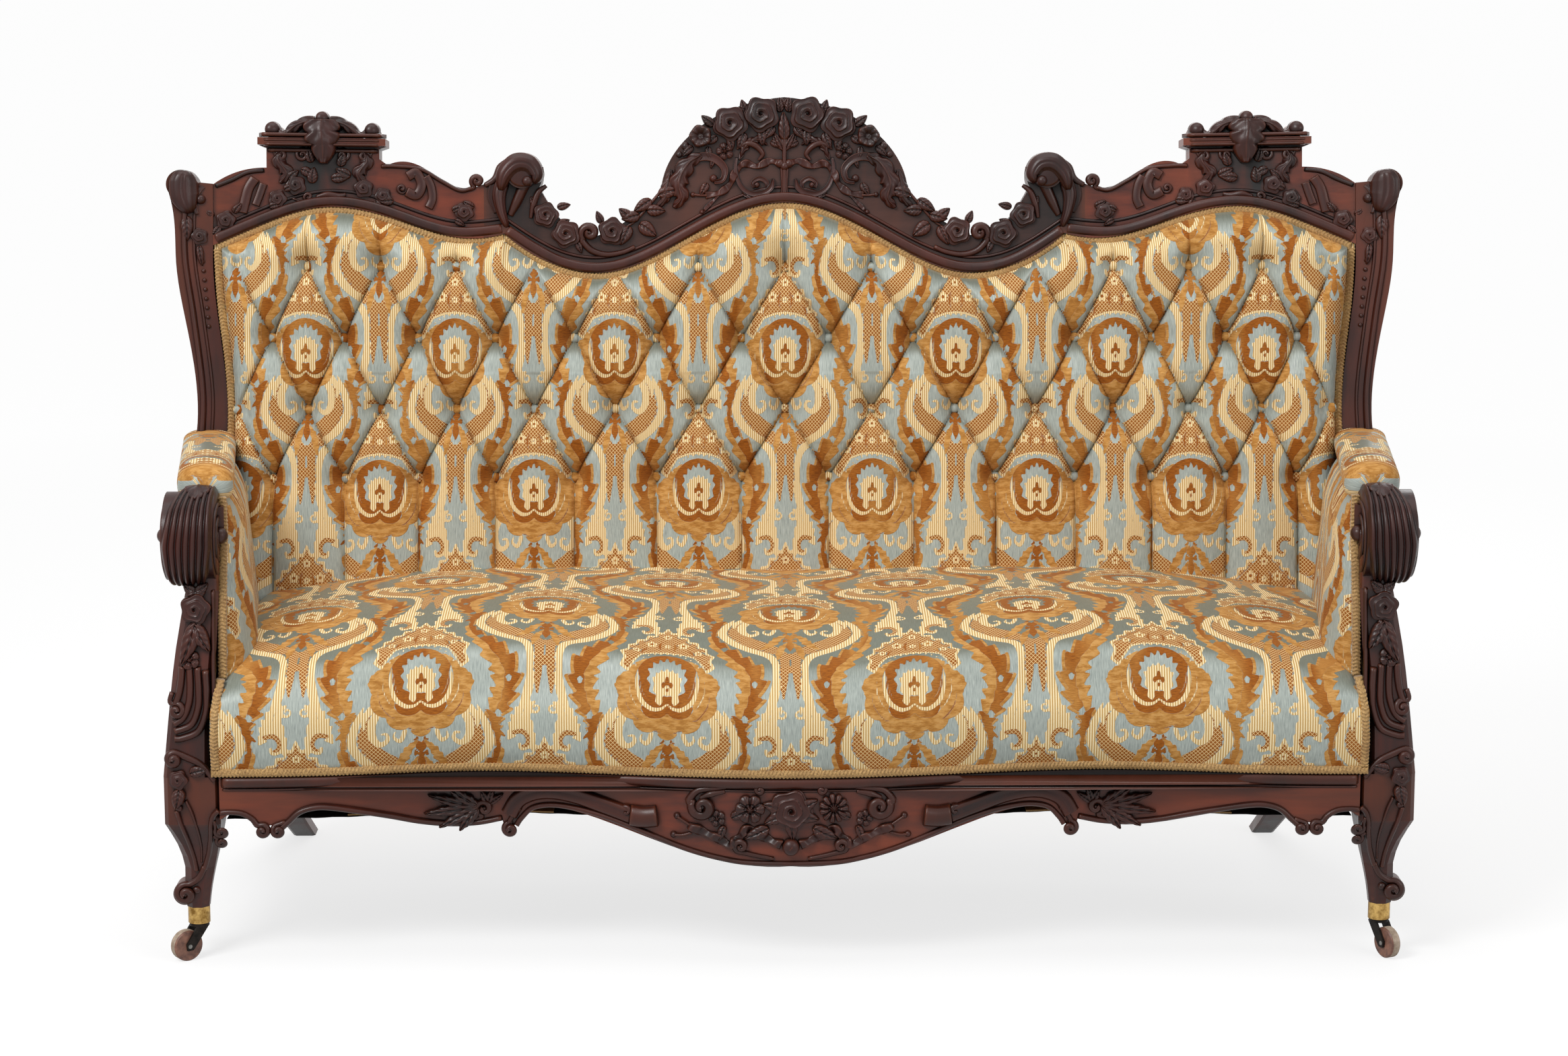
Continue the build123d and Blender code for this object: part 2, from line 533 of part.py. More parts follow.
# Inside arms, arm pads and outside arm covers
arm_slope = (arm_rear[0] - arm_front[0]) / (arm_rear[1] - arm_front[1])
for name, side in SIDES:
    pad_front_y = LEG_Y + 43
    flare = (250 - pad_front_y) * arm_slope
    with BuildPart() as inside_arm_pad:
        with BuildSketch(Plane.XY.offset(INSIDE_ARM_LOW)):
            with BuildLine():
                Polyline(*mirrored([(-ARM_INSIDE_X, pad_front_y), (-ARM_INSIDE_X - flare, 250),
                                    (-ARM_INSIDE_X - flare - INSIDE_ARM_T, 250),
                                    (-ARM_INSIDE_X - INSIDE_ARM_T, pad_front_y)], side), close=True)
            make_face()
        extrude(amount=ARM_LOW - CLEAR - INSIDE_ARM_LOW)
        inner = inside_arm_pad.faces().sort_by(Axis.X)[-1 if side < 0 else 0]
        fillet(inner.edges().filter_by(Axis.Z).sort_by(Axis.Y)[0], 18)
        add(pad_zone, mode=Mode.SUBTRACT)
        add(stile_front, mode=Mode.SUBTRACT)
        with Locations(scroll_place[side]):
            Cylinder(SCROLL_R + CLEAR, 4 * SCROLL_R, mode=Mode.SUBTRACT)
    save(inside_arm_pad.part, f"inside_arm_pad_{name}")
    heading = arm_heading if side > 0 else 180 - arm_heading
    along = Pos(side * arm_front[0], arm_front[1], ARM_HIGH) * Rot(0, 0, heading)
    with BuildPart() as arm_pad:
        with BuildSketch(Plane(along * Location((SCROLL_R + 2, 0, 0), (0, 90, 0)))):
            with BuildLine():
                half = ARM_PAD_W / 2
                Line((0, half - 8), (0, 8 - half))
                ThreePointArc((0, 8 - half), (-ARM_PAD_H * 0.25, -half), (-ARM_PAD_H * 0.5, 3 - half))
                ThreePointArc((-ARM_PAD_H * 0.5, 3 - half), (-ARM_PAD_H, 0), (-ARM_PAD_H * 0.5, half - 3))
                ThreePointArc((-ARM_PAD_H * 0.5, half - 3), (-ARM_PAD_H * 0.25, half), (0, half - 8))
            make_face()
        extrude(amount=arm_length)
        add(pad_zone, mode=Mode.SUBTRACT)
        add(bow_band(-STILE_PROUD - CLEAR, 300, -300, 700), mode=Mode.SUBTRACT)
    save(arm_pad.part, f"arm_pad_{name}")
    cover_out = ARM_INSIDE_X + INSIDE_ARM_T + 4.0
    cover_rear = BACK_Y + (RAIL_TOP - BACK_Z) * sin(rake) / cos(rake) - STILE_PROUD - 12
    cover_flare = (cover_rear - pad_front_y) * arm_slope
    with BuildPart() as outside_arm:
        with BuildSketch(Plane.XY.offset(RAIL_TOP)):
            with BuildLine():
                Polyline(*mirrored([(-cover_out, pad_front_y), (-cover_out - cover_flare, cover_rear),
                                    (-cover_out - cover_flare - COVER_T, cover_rear),
                                    (-cover_out - COVER_T, pad_front_y)], side), close=True)
            make_face()
        extrude(amount=ARM_LOW - RAIL_TOP)
        with Locations(scroll_place[side]):
            Cylinder(SCROLL_R + CLEAR, 4 * SCROLL_R, mode=Mode.SUBTRACT)
    save(outside_arm.part, f"outside_arm_{name}")

# Hidden back frame, webbing and outside back
with BuildPart() as back_lower_rail:
    with BuildSketch(BACK):
        with Locations((0, LOWER_RAIL_V)):
            Rectangle(2 * STILE_IN_LOW, LOWER_RAIL_H)
    extrude(amount=400, both=True)
    add(bow_band(BACK_PAD_IN + CLEAR, FRAME_T, LOWER_RAIL_V - 60, LOWER_RAIL_V + 60), mode=Mode.INTERSECT)
save(back_lower_rail.part, "back_lower_rail")
stay_low = LOWER_RAIL_V + LOWER_RAIL_H / 2
with BuildPart() as back_stays:
    with BuildSketch(BACK):
        with Locations((-STAY_X, stay_low), (STAY_X, stay_low)):
            Rectangle(STAY_W, 520, align=(Align.CENTER, Align.MIN))
    extrude(amount=400, both=True)
    add(bow_band(BACK_PAD_IN + CLEAR, FRAME_T, stay_low - 10, 500), mode=Mode.INTERSECT)
    add(crest_whole.part, mode=Mode.SUBTRACT)
save(back_stays.part, "back_stays")
with BuildPart() as outside_back:
    with BuildSketch(BACK):
        with BuildLine():
            top_left, top_right = crest_lower(20)
            foot = up_rake(RAIL_TOP, 0, FRAME_T) + 1
            Polyline(top_left, (-STILE_IN_LOW - 20, 207), (-STILE_IN_LOW - 20, foot),
                     (STILE_IN_LOW + 20, foot), (STILE_IN_LOW + 20, 207), top_right)
        make_face()
    extrude(amount=400, both=True)
    add(bow_band(FRAME_T + CLEAR, FRAME_T + CLEAR + COVER_T, pad_low - 10, CREST_PEAK), mode=Mode.INTERSECT)
save(outside_back.part, "outside_back")

# Corner blocks
with BuildPart() as corner_blocks:
    for side in (-1, 1):
        front, rear = SIDE_FRONT_Y, REAR_END_Y - 4
        for near, far, reach in ((front, front + 80, front), (rear, rear - 80, rear)):
            with BuildSketch(Plane.XY.offset(BLOCK_LOW)):
                with BuildLine():
                    Polyline((rail_inner(near, side), near), (rail_inner(far, side), far),
                             (rail_inner(near, side) - side * 70, reach), close=True)
                make_face()
            extrude(amount=RAIL_TOP - 4 - BLOCK_LOW)
save(corner_blocks.part, "corner_blocks")

# Webbing under the springs: lengthwise strips lie over the cross strips
with BuildPart() as seat_webbing:
    for level, count, pitch, turned in ((RAIL_BOTTOM, SPRING_COLUMNS, SPRING_PITCH_X, True),
                                        (RAIL_BOTTOM + WEB_T + CLEAR, 3, 130.0, False)):
        with BuildPart(mode=Mode.PRIVATE) as layer:
            for step in range(count):
                offset = (step - (count - 1) / 2) * pitch
                centre = (offset, -50, level) if turned else (0, SPRING_MID_Y + offset, level)
                with Locations(centre):
                    Box(WEB_W if turned else 2000, 900 if turned else WEB_W, WEB_T,
                        align=(Align.CENTER, Align.CENTER, Align.MIN))
            with BuildSketch(Plane.XY.offset(level)):
                with BuildLine():
                    web_plan()
                make_face()
            extrude(amount=WEB_T, mode=Mode.INTERSECT)
        add(layer.part)
save(seat_webbing.part, "seat_webbing")

# Hourglass coil springs
stations = int(SPRING_TURNS * 6)
with BuildPart() as spring:
    for step in range(stations + 1):
        share = step / stations
        turn = 2 * pi * SPRING_TURNS * share
        r = SPRING_WAIST + (SPRING_R - SPRING_WAIST) * (2 * share - 1) ** 2
        rise = SPRING_WIRE / 2 + (SPRING_HEIGHT - SPRING_WIRE) * share
        here = Plane((r * cos(turn), r * sin(turn), rise), x_dir=(cos(turn), sin(turn), 0),
                     z_dir=(-sin(turn), cos(turn), 0))
        with BuildSketch(here):
            Rectangle(SPRING_WIRE, SPRING_WIRE)
    loft(ruled=True)
with BuildPart() as seat_springs:
    with Locations((0, SPRING_MID_Y, SPRING_LOW)):
        with GridLocations(SPRING_PITCH_X, SPRING_PITCH_Y, SPRING_COLUMNS, SPRING_ROWS):
            add(spring.part)
save(seat_springs.part, "seat_springs")

# Hessian over the springs and the dust cover under the rails
with BuildPart() as spring_cover:
    with BuildSketch(Plane.XY.offset(HESSIAN_Z)):
        with BuildLine():
            inside_plan(14.0 + CLEAR, RAIL_TOP, -BACK_PAD_T - 40 - CLEAR)
        make_face()
    extrude(amount=HESSIAN_T)
save(spring_cover.part, "spring_cover")
with BuildPart() as dust_cover:
    with BuildSketch(Plane.XY.offset(RAIL_BOTTOM - CLEAR - 1.5)):
        with BuildLine():
            web_plan(3.0)
        make_face()
    extrude(amount=1.5)
save(dust_cover.part, "dust_cover")

# Casters on the front legs
for name, side in SIDES:
    axis = (side * LEG_X, LEG_Y)
    heading = radians(TRAIL_ANGLE[name])
    hub = (axis[0] + TRAIL * cos(heading), axis[1] + TRAIL * sin(heading), WHEEL_R)
    ferrule_low = FOOT_Z - FERRULE_H
    with BuildPart() as ferrule:
        with Locations((*axis, ferrule_low)):
            Cylinder(FOOT_R, FERRULE_H, align=(Align.CENTER, Align.CENTER, Align.MIN))
        with Locations((*axis, ferrule_low + FERRULE_BASE)):
            Cylinder(FOOT_R - FERRULE_T, FERRULE_H, align=(Align.CENTER, Align.CENTER, Align.MIN),
                     mode=Mode.SUBTRACT)
        with Locations((*axis, ferrule_low - 1)):
            Cylinder(PINTLE_R + RUNNING, FERRULE_BASE + 5, align=(Align.CENTER, Align.CENTER, Align.MIN),
                     mode=Mode.SUBTRACT)
    save(ferrule.part, f"caster_ferrule_{name}")
    plate_top = ferrule_low - CLEAR
    plate_low = plate_top - FORK_PLATE
    with BuildPart() as fork:
        with Locations((*axis, plate_low)):
            Cylinder(FORK_R, FORK_PLATE, align=(Align.CENTER, Align.CENTER, Align.MIN))
            Cylinder(PINTLE_R, FORK_PLATE + CLEAR + FERRULE_BASE, align=(Align.CENTER, Align.CENTER, Align.MIN))
        for across in (-1, 1):
            inner_y = across * (WHEEL_W / 2 + CHEEK_GAP + CHEEK_T / 2)
            cheek = Plane(Vector(*axis, 0), x_dir=(cos(heading), sin(heading), 0),
                          z_dir=(sin(heading), -cos(heading), 0)).offset(inner_y - CHEEK_T / 2)
            with BuildSketch(cheek):
                with BuildLine():
                    Polyline((-9, plate_low + 1), (9, plate_low + 1), (TRAIL + 5, WHEEL_R + 3),
                             (TRAIL + 4, WHEEL_R - 6), (TRAIL - 5, WHEEL_R - 6), close=True)
                make_face()
            extrude(amount=CHEEK_T)
        with Locations(Pos(*hub) * Rot(0, 0, degrees(heading)) * Rot(90, 0, 0)):
            Cylinder(AXLE_R, 60, mode=Mode.SUBTRACT)
    save(fork.part, f"caster_fork_{name}")
    with BuildPart() as axle:
        with Locations(Pos(*hub) * Rot(0, 0, degrees(heading)) * Rot(90, 0, 0)):
            Cylinder(AXLE_R, WHEEL_W + 2 * (CHEEK_GAP + CHEEK_T))
    save(axle.part, f"caster_axle_{name}")
    with BuildPart() as wheel:
        with Locations(Pos(*hub) * Rot(0, 0, degrees(heading)) * Rot(90, 0, 0)):
            Cylinder(WHEEL_R, WHEEL_W)
            Cylinder(AXLE_R + RUNNING, 2 * WHEEL_W, mode=Mode.SUBTRACT)
        rims = wheel.edges().filter_by(GeomType.CIRCLE).sort_by(SortBy.RADIUS)[-2:]
        chamfer(rims, 2.0)
    save(wheel.part, f"caster_wheel_{name}")

# Back upholstery: half is pleated and pitted, then mirrored
with BuildPart() as back_pad:
    with BuildSketch(BACK):
        with BuildLine():
            top_left, top_right = crest_lower(-2 * CLEAR)
            for sign, top in ((-1, top_left), (1, top_right)):
                edge = [(sign * STILE_IN, 511 - 2 * CLEAR), (sign * (STILE_X - 11), 420),
                        (sign * (STILE_X - 23), 321), (sign * (STILE_IN_LOW - 1), 207)]
                Spline(*edge)
                Line(edge[-1], (sign * (STILE_IN_LOW - 1), pad_low))
            Line((-STILE_IN_LOW + 1, pad_low), (STILE_IN_LOW - 1, pad_low))
        make_face()
    extrude(amount=400, both=True)
    add(bow_band(-BACK_PAD_T, BACK_PAD_IN, pad_low - 10, CREST_PEAK), mode=Mode.INTERSECT)
    with Locations((-1000, 0, RAIL_TOP + CLEAR + 1000)):
        Box(2000, 4000, 2000, mode=Mode.INTERSECT)
    rim = []
    for edge in back_pad.edges():
        spots = [BACK.to_local_coords(edge @ share) for share in (0.1, 0.5)]
        on_front = all(abs(spot.Z + bow(spot.X) - BACK_PAD_T) < 0.5 for spot in spots)
        if on_front and spots[1].X < -1 and spots[1].Y > pad_low + 100:
            rim.append(edge)
    chamfer(rim, PAD_EDGE, PAD_EDGE_DEEP)
    for x0, v0, x1, v1 in pleats:
        if min(x0, x1) < 0:
            middle = Location(on_pad((x0 + x1) / 2, (v0 + v1) / 2, -BACK_PAD_T))
            heading = degrees(atan2(v1 - v0, x1 - x0))
            with Locations(middle * Rot(0, 0, heading) * Rot(45, 0, 0)):
                Box(hypot(x1 - x0, v1 - v0), PLEAT_D * sqrt(2), PLEAT_D * sqrt(2), mode=Mode.SUBTRACT)
    for k, row, x, v in buttons:
        if k <= 0:
            with BuildSketch(on_pad(x, v, TUFT_DEPTH - BACK_PAD_T)):
                RegularPolygon(BUTTON_R + 2, 8)
            extrude(amount=TUFT_DEPTH + 2, taper=-24, mode=Mode.SUBTRACT)
    mirror(about=Plane.YZ)
save(back_pad.part, "back_pad")
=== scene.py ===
import math
import random

import bmesh
import bpy
import numpy as np
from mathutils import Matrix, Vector


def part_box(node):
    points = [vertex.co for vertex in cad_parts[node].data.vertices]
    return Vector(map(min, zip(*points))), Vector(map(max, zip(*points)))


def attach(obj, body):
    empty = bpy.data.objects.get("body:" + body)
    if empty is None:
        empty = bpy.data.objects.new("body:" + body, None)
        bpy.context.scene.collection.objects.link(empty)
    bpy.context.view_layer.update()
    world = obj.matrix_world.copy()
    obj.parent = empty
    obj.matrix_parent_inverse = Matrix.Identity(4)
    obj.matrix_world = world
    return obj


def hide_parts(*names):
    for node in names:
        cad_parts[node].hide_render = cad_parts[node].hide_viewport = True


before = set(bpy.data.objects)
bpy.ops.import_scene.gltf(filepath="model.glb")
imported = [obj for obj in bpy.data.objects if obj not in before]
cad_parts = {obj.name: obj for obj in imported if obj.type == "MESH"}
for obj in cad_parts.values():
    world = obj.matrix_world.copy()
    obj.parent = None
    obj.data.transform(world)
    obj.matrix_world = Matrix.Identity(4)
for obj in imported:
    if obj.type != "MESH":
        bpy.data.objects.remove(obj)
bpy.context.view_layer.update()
random.seed(7)
RNG = np.random.default_rng(7)
SIDES = ((-1, "left"), (1, "right"))
ROUND = 2 * math.pi
FINE = 0.0022  # spacing of points on the cloth

# Sizes shared with the solids, in metres
RAKE = math.radians(8.0)
BOW = 0.119  # how far the middle of the back lies behind the stiles
FRAME_T = 0.045
BACK_Z = 0.450
STILE_X = 0.874
CREST_PEAK = 0.744
CREST_JOINT, CREST_END = 0.432, 0.868
DEPTH = 0.800
BACK_Y = DEPTH / 2 - (BOW + FRAME_T) * math.cos(RAKE) - CREST_PEAK * math.sin(RAKE)
BOW_R = (STILE_X**2 + BOW**2) / (2 * BOW)
RAIL_TOP = 0.272
SEAT_HALF = 0.796
APRON_END = 0.797
TUFT_STEP, TUFT_CLOSE = 0.068, 0.00062
TUFT_ROWS = (0.157, 0.262, 0.371, 0.480)
SCROLL_X, SCROLL_Y, SCROLL_Z, SCROLL_R = 0.833, -0.322, 0.604, 0.061
ARM_HIGH = 0.644
ARM_FRONT, ARM_REAR = (0.812, -0.322), (0.874, 0.161)  # ends of the arm's middle line


def spline_fit(points):
    """Natural cubic spline through (x, y) points, as a function of x."""
    x, y = np.array(points, float).T
    n = len(x)
    h = np.diff(x)
    a = np.zeros((n, n))
    r = np.zeros(n)
    a[0, 0] = a[-1, -1] = 1
    for i in range(1, n - 1):
        a[i, i - 1], a[i, i], a[i, i + 1] = h[i - 1], 2 * (h[i - 1] + h[i]), h[i]
        r[i] = 6 * ((y[i + 1] - y[i]) / h[i] - (y[i] - y[i - 1]) / h[i - 1])
    m = np.linalg.solve(a, r)

    def at(q):
        q = np.asarray(q, float)
        i = np.clip(np.searchsorted(x, q) - 1, 0, n - 2)
        s, e = q - x[i], x[i + 1] - q
        return ((m[i] * e**3 + m[i + 1] * s**3) / (6 * h[i]) + (y[i] / h[i] - m[i] * h[i] / 6) * e
                + (y[i + 1] / h[i] - m[i + 1] * h[i] / 6) * s)
    return at


def mirrored(half, middle):
    """Points of a curve that is the same on both sides, from its right half."""
    return [(-x, y) for x, y in half[::-1]] + [middle] + half


crest_mid = spline_fit(mirrored([(0.150, 0.527), (0.274, 0.473), (0.350, 0.483), (CREST_JOINT, 0.532)], (0.0, 0.581)))
crest_side = spline_fit([(CREST_JOINT, 0.532), (0.511, 0.527), (0.600, 0.554), (0.705, 0.571), (0.800, 0.542),
                         (CREST_END, 0.511)])
apron_front = spline_fit(mirrored(
    [(0.082, -0.3959), (0.163, -0.3858), (0.271, -0.3682), (0.364, -0.3545), (0.4205, -0.3502), (0.4424, -0.3501),
     (0.4907, -0.3535), (0.5798, -0.3667), (0.6576, -0.3766), (0.7346, -0.3818), (APRON_END, -0.383)], (0.0, -0.400)))
stile_inner = spline_fit([(-0.3, 0.851), (0.0, 0.851), (0.207, 0.851), (0.321, 0.852), (0.420, 0.863), (0.511, 0.868)])


def crest_low(x):
    """Height up the rake of the crest's lower edge."""
    x = np.abs(np.asarray(x, float))
    return np.where(x < CREST_JOINT, crest_mid(np.minimum(x, CREST_JOINT)),
                    crest_side(np.clip(x, CREST_JOINT, CREST_END)))


def bow(x):
    """How far the bowed back lies behind its ends at x."""
    return np.sqrt(BOW_R**2 - np.square(x)) - (BOW_R - BOW)


def on_back(x, v, h):
    """Points h in front of the bowed back frame, at x and v up the rake."""
    x, v, h = np.broadcast_arrays(np.asarray(x, float), np.asarray(v, float), np.asarray(h, float))
    q = bow(x) - h
    y = BACK_Y + q * math.cos(RAKE) + v * math.sin(RAKE)
    z = BACK_Z - q * math.sin(RAKE) + v * math.cos(RAKE)
    return np.stack([x, y, z], -1)


def stacked(x, y, z):
    """Points from numbers or arrays of any matching shapes."""
    return np.stack(np.broadcast_arrays(x, y, z), -1)


def apron_y(x):
    """Front of the serpentine apron at x."""
    return apron_front(np.clip(x, -APRON_END, APRON_END))


def on_apron(x, z, h):
    """Points h in front of the serpentine apron."""
    return stacked(x, apron_y(x) - h, z)


# Mesh helpers
def make_object(name, verts, faces, material):
    """A smooth-shaded mesh in the scene."""
    mesh = bpy.data.meshes.new(name)
    mesh.from_pydata([tuple(map(float, v)) for v in verts], [], [tuple(map(int, f)) for f in faces])
    mesh.update()
    mesh.polygons.foreach_set("use_smooth", [True] * len(mesh.polygons))
    obj = bpy.data.objects.new(name, mesh)
    bpy.context.scene.collection.objects.link(obj)
    mesh.materials.append(material)
    return obj


def grid_faces(rows, cols, start=0, wrap=False):
    """Quads of a grid of points, row by row; wrap joins the last column to the first and caps both ends."""
    r, c = np.meshgrid(np.arange(rows - 1), np.arange(cols if wrap else cols - 1), indexing="ij")
    n = (c + 1) % cols
    quads = np.stack([r * cols + c, r * cols + n, (r + 1) * cols + n, (r + 1) * cols + c], -1)
    faces = [tuple(f) for f in quads.reshape(-1, 4) + start]
    if wrap:
        faces.append(tuple(start + i for i in range(cols - 1, -1, -1)))
        faces.append(tuple(start + (rows - 1) * cols + i for i in range(cols)))
    return faces


class Heap:
    """Collects many small closed meshes into one object."""

    def __init__(self):
        self.verts, self.faces, self.count = [], [], 0

    def add(self, verts, faces):
        verts = np.asarray(verts, float).reshape(-1, 3)
        self.faces += [tuple(int(i) + self.count for i in f) for f in faces]
        self.verts.append(verts)
        self.count += len(verts)

    def build(self, name, material):
        obj = make_object(name, np.concatenate(self.verts), self.faces, material)
        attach(obj, "frame")
        work = bmesh.new()
        work.from_mesh(obj.data)
        bmesh.ops.recalc_face_normals(work, faces=work.faces)
        work.to_mesh(obj.data)
        work.free()


# Materials
class Graph:
    """Short ways to add nodes to a material or the world."""

    def __init__(self, tree, shader=None):
        self.tree, self.shader = tree, shader

    def put(self, socket, value):
        """Links a node's output to a socket, or sets the socket itself; a name is one of the shader's."""
        if isinstance(socket, str):
            socket = self.shader.inputs[socket]
        if isinstance(value, bpy.types.NodeSocket):
            self.tree.links.new(value, socket)
        elif value is not None:
            socket.default_value = value

    def node(self, kind, *values, **settings):
        """Adds a node, fills its first sockets and returns its outputs."""
        node = self.tree.nodes.new("ShaderNode" + kind)
        for key, value in settings.items():
            setattr(node, key, value)
        for socket, value in zip(node.inputs, values):
            self.put(socket, value)
        return node.outputs

    def math(self, op, a, b=None, clamp=False):
        return self.node("Math", a, b, operation=op, use_clamp=clamp)[0]

    def add(self, a, b):
        return self.math("ADD", a, b)

    def mul(self, a, b):
        return self.math("MULTIPLY", a, b)

    def most(self, a, b):
        return self.math("MAXIMUM", a, b)

    def wave(self, value, length):
        return self.math("SINE", self.mul(value, ROUND / length))

    def mix(self, factor, a, b):
        return self.node("Mix", factor, None, None, None, None, None, a, b, data_type="RGBA")[2]

    def noise(self, vector, scale, detail=3.0, rough=0.55):
        return self.node("TexNoise", vector, None, scale, detail, rough)["Fac"]

    def coords(self):
        return self.node("TexCoord")["Object"]

    def xyz(self, vector):
        return self.node("SeparateXYZ", vector)

    def scaled(self, vector, scale):
        return self.node("Mapping", vector, None, None, scale)[0]

    def span(self, value, low, high, to_low=0.0, to_high=1.0, **settings):
        return self.node("MapRange", value, low, high, to_low, to_high, **settings)[0]

    def bump(self, height, strength, distance):
        node = self.tree.nodes.new("ShaderNodeBump")
        for key, value in (("Strength", strength), ("Distance", distance), ("Height", height)):
            self.put(node.inputs[key], value)
        self.put("Normal", node.outputs[0])

    def seen(self):
        """1 for what the camera, gloss and glass see, 0 for light that falls on the object."""
        path = self.node("LightPath")
        return self.most(self.most(path["Is Camera Ray"], path["Is Glossy Ray"]), path["Is Transmission Ray"])


def new_material(name):
    """An empty material with one shader, and its graph."""
    mat = bpy.data.materials.new(name)
    mat.use_nodes = True
    tree = mat.node_tree
    tree.nodes.clear()
    out = tree.nodes.new("ShaderNodeOutputMaterial")
    shader = tree.nodes.new("ShaderNodeBsdfPrincipled")
    tree.links.new(shader.outputs[0], out.inputs[0])
    return mat, Graph(tree, shader)


def rgb(code):
    """Linear colour from a hex code."""
    parts = [int(code[i:i + 2], 16) / 255 for i in (0, 2, 4)]
    return (*(c / 12.92 if c <= 0.04045 else ((c + 0.055) / 1.055) ** 2.4 for c in parts), 1.0)


def wood_material(name, grain_axis, dark="230A06", mid="4A190D", light="722E1A", coat=0.16):
    """Dark red-brown polished wood, with grain, rubbed edges, and painted shade in its hollows and corners."""
    mat, g = new_material(name)
    place = g.coords()
    stretch = [38.0, 38.0, 38.0]
    stretch[grain_axis] = 3.0
    grain = g.noise(g.scaled(place, stretch), 1.0, 6.0, 0.62)
    pores = g.noise(g.scaled(place, [s * 7 for s in stretch]), 1.0, 3.0, 0.6)
    cloud = g.noise(place, 5.0, 2.0)
    base = g.mix(g.span(grain, 0.35, 0.68), rgb(dark), rgb(mid))
    base = g.mix(g.mul(g.span(cloud, 0.45, 0.75), 0.55), base, rgb(light))
    pointed = g.node("NewGeometry")["Pointiness"]
    worn, hollow_shade = g.span(pointed, 0.52, 0.60), g.span(pointed, 0.40, 0.49)
    base = g.mix(g.mul(worn, 0.45), base, rgb("643019"))
    # Painted shade: concave hollows are darkened towards near-black
    base = g.mix(g.math("SUBTRACT", 1.0, hollow_shade, clamp=True), base, rgb("0B0504"))
    # Painted shade: occluded corners and crevices are darkened towards near-black
    crevice_shade = g.node("AmbientOcclusion", None, 0.022, samples=6)
    g.put("Base Color", g.mix(g.span(crevice_shade["AO"], 0.15, 0.80), rgb("090403"), base))
    g.put("Specular IOR Level", 0.30)
    g.put("Roughness", g.add(g.span(grain, 0.3, 0.7, 0.29, 0.42), g.mul(pores, 0.08)))
    g.put("Coat Weight", coat)
    g.put("Coat Roughness", 0.16)
    g.bump(g.add(g.mul(grain, 0.6), g.mul(pores, 0.4)), 0.22, 0.0012)
    return mat


RIB, HATCH = 0.0035, 0.0058  # spacing of the cream ribs and of the gold lattice
WEAVE_EDGE = 0.10  # how softly one weave gives way to the next


def damask_material():
    """Woven damask: satin ground, ribbed cream, two velvets and a cross-hatched gold."""
    mat, g = new_material("damask")
    weave = g.node("Attribute", attribute_name="weave")
    split = g.node("SeparateColor", weave["Color"])
    cream, rust, tan, hatch = (
        g.span(s, 0.5 - WEAVE_EDGE, 0.5 + WEAVE_EDGE, interpolation_type="SMOOTHSTEP")
        for s in (split[0], split[1], split[2], weave["Alpha"]))
    cloth = g.node("UVMap", uv_map="Cloth")[0]
    u, v, _ = g.xyz(cloth)
    rib = g.span(g.wave(u, RIB), -0.7, 0.7)
    lattice = g.most(g.wave(g.add(u, v), HATCH), g.wave(g.math("SUBTRACT", u, v), HATCH))
    lattice = g.span(lattice, 0.68, 0.96)
    nap = g.noise(g.scaled(cloth, (120, 900, 1)), 1.0, 4.0, 0.65)
    satin = g.noise(g.scaled(cloth, (900, 60, 1)), 1.0, 3.0, 0.6)
    shade = g.noise(g.scaled(cloth, (14, 5, 1)), 1.0, 2.0, 0.5)
    crush = g.noise(g.scaled(cloth, (55, 150, 1)), 1.0, 3.0, 0.6)
    # Painted shade: the satin ground is darker where it faces up, standing in for how satin looks dark when seen at a
    # grazing angle
    ground = g.mix(g.span(satin, 0.3, 0.7), rgb("858D88"), rgb("B5BCB4"))
    facing_up = g.xyz(g.node("NewGeometry")["Normal"])[2]
    ground = g.mix(g.span(facing_up, 0.52, 0.93, 0.0, 0.78), ground, rgb("5E6152"))
    velvet_rust = g.mix(g.span(nap, 0.3, 0.7), rgb("6C3606"), rgb("AC6418"))
    velvet_tan = g.mix(g.span(nap, 0.3, 0.7), rgb("9A6628"), rgb("CE974E"))
    velvet_rust = g.mix(g.span(shade, 0.50, 0.66, 0.0, 0.75), velvet_rust, velvet_tan)
    velvet_tan = g.mix(g.span(crush, 0.46, 0.66, 0.0, 0.55), velvet_tan, rgb("8C561A"))
    velvet_tan = g.mix(g.span(crush, 0.54, 0.36, 0.0, 0.35), velvet_tan, rgb("DAAE70"))
    colour = g.mix(cream, ground, g.mix(rib, rgb("BB9354"), rgb("F3E0B4")))
    colour = g.mix(tan, colour, velvet_tan)
    colour = g.mix(rust, colour, velvet_rust)
    g.put("Base Color", g.mix(hatch, colour, g.mix(lattice, rgb("90531A"), rgb("E2C086"))))
    pile = g.most(rust, tan)
    figure = g.most(pile, g.most(cream, hatch))
    g.put("Roughness", g.span(figure, 0.0, 1.0, 0.36, 0.78))
    g.put("Sheen Weight", 0.12)
    g.put("Sheen Roughness", 0.45)
    g.put("Sheen Tint", (1.0, 0.85, 0.62, 1))
    g.put("Specular IOR Level", 0.22)
    height = g.mul(figure, 0.5)
    for layer, share in ((g.mul(rib, cream), 0.35), (g.mul(nap, pile), 0.5), (g.mul(lattice, hatch), 0.4),
                         (satin, 0.15)):
        height = g.add(height, g.mul(layer, share))
    g.bump(height, 0.55, 0.0011)
    return mat


def braid_material():
    """Flecked tan-gold braid."""
    mat, g = new_material("braid")
    place = g.coords()
    fleck = g.noise(place, 420.0, 3.0, 0.6)
    slow = g.noise(place, 22.0, 2.0)
    base = g.mix(g.span(fleck, 0.3, 0.7), rgb("7C5A30"), rgb("CBA468"))
    g.put("Base Color", g.mix(g.span(slow, 0.45, 0.7, 0.0, 0.35), base, rgb("7A5226")))
    g.put("Roughness", g.span(fleck, 0.2, 0.8, 0.55, 0.8))
    g.put("Sheen Weight", 0.2)
    g.bump(fleck, 0.5, 0.0008)
    return mat


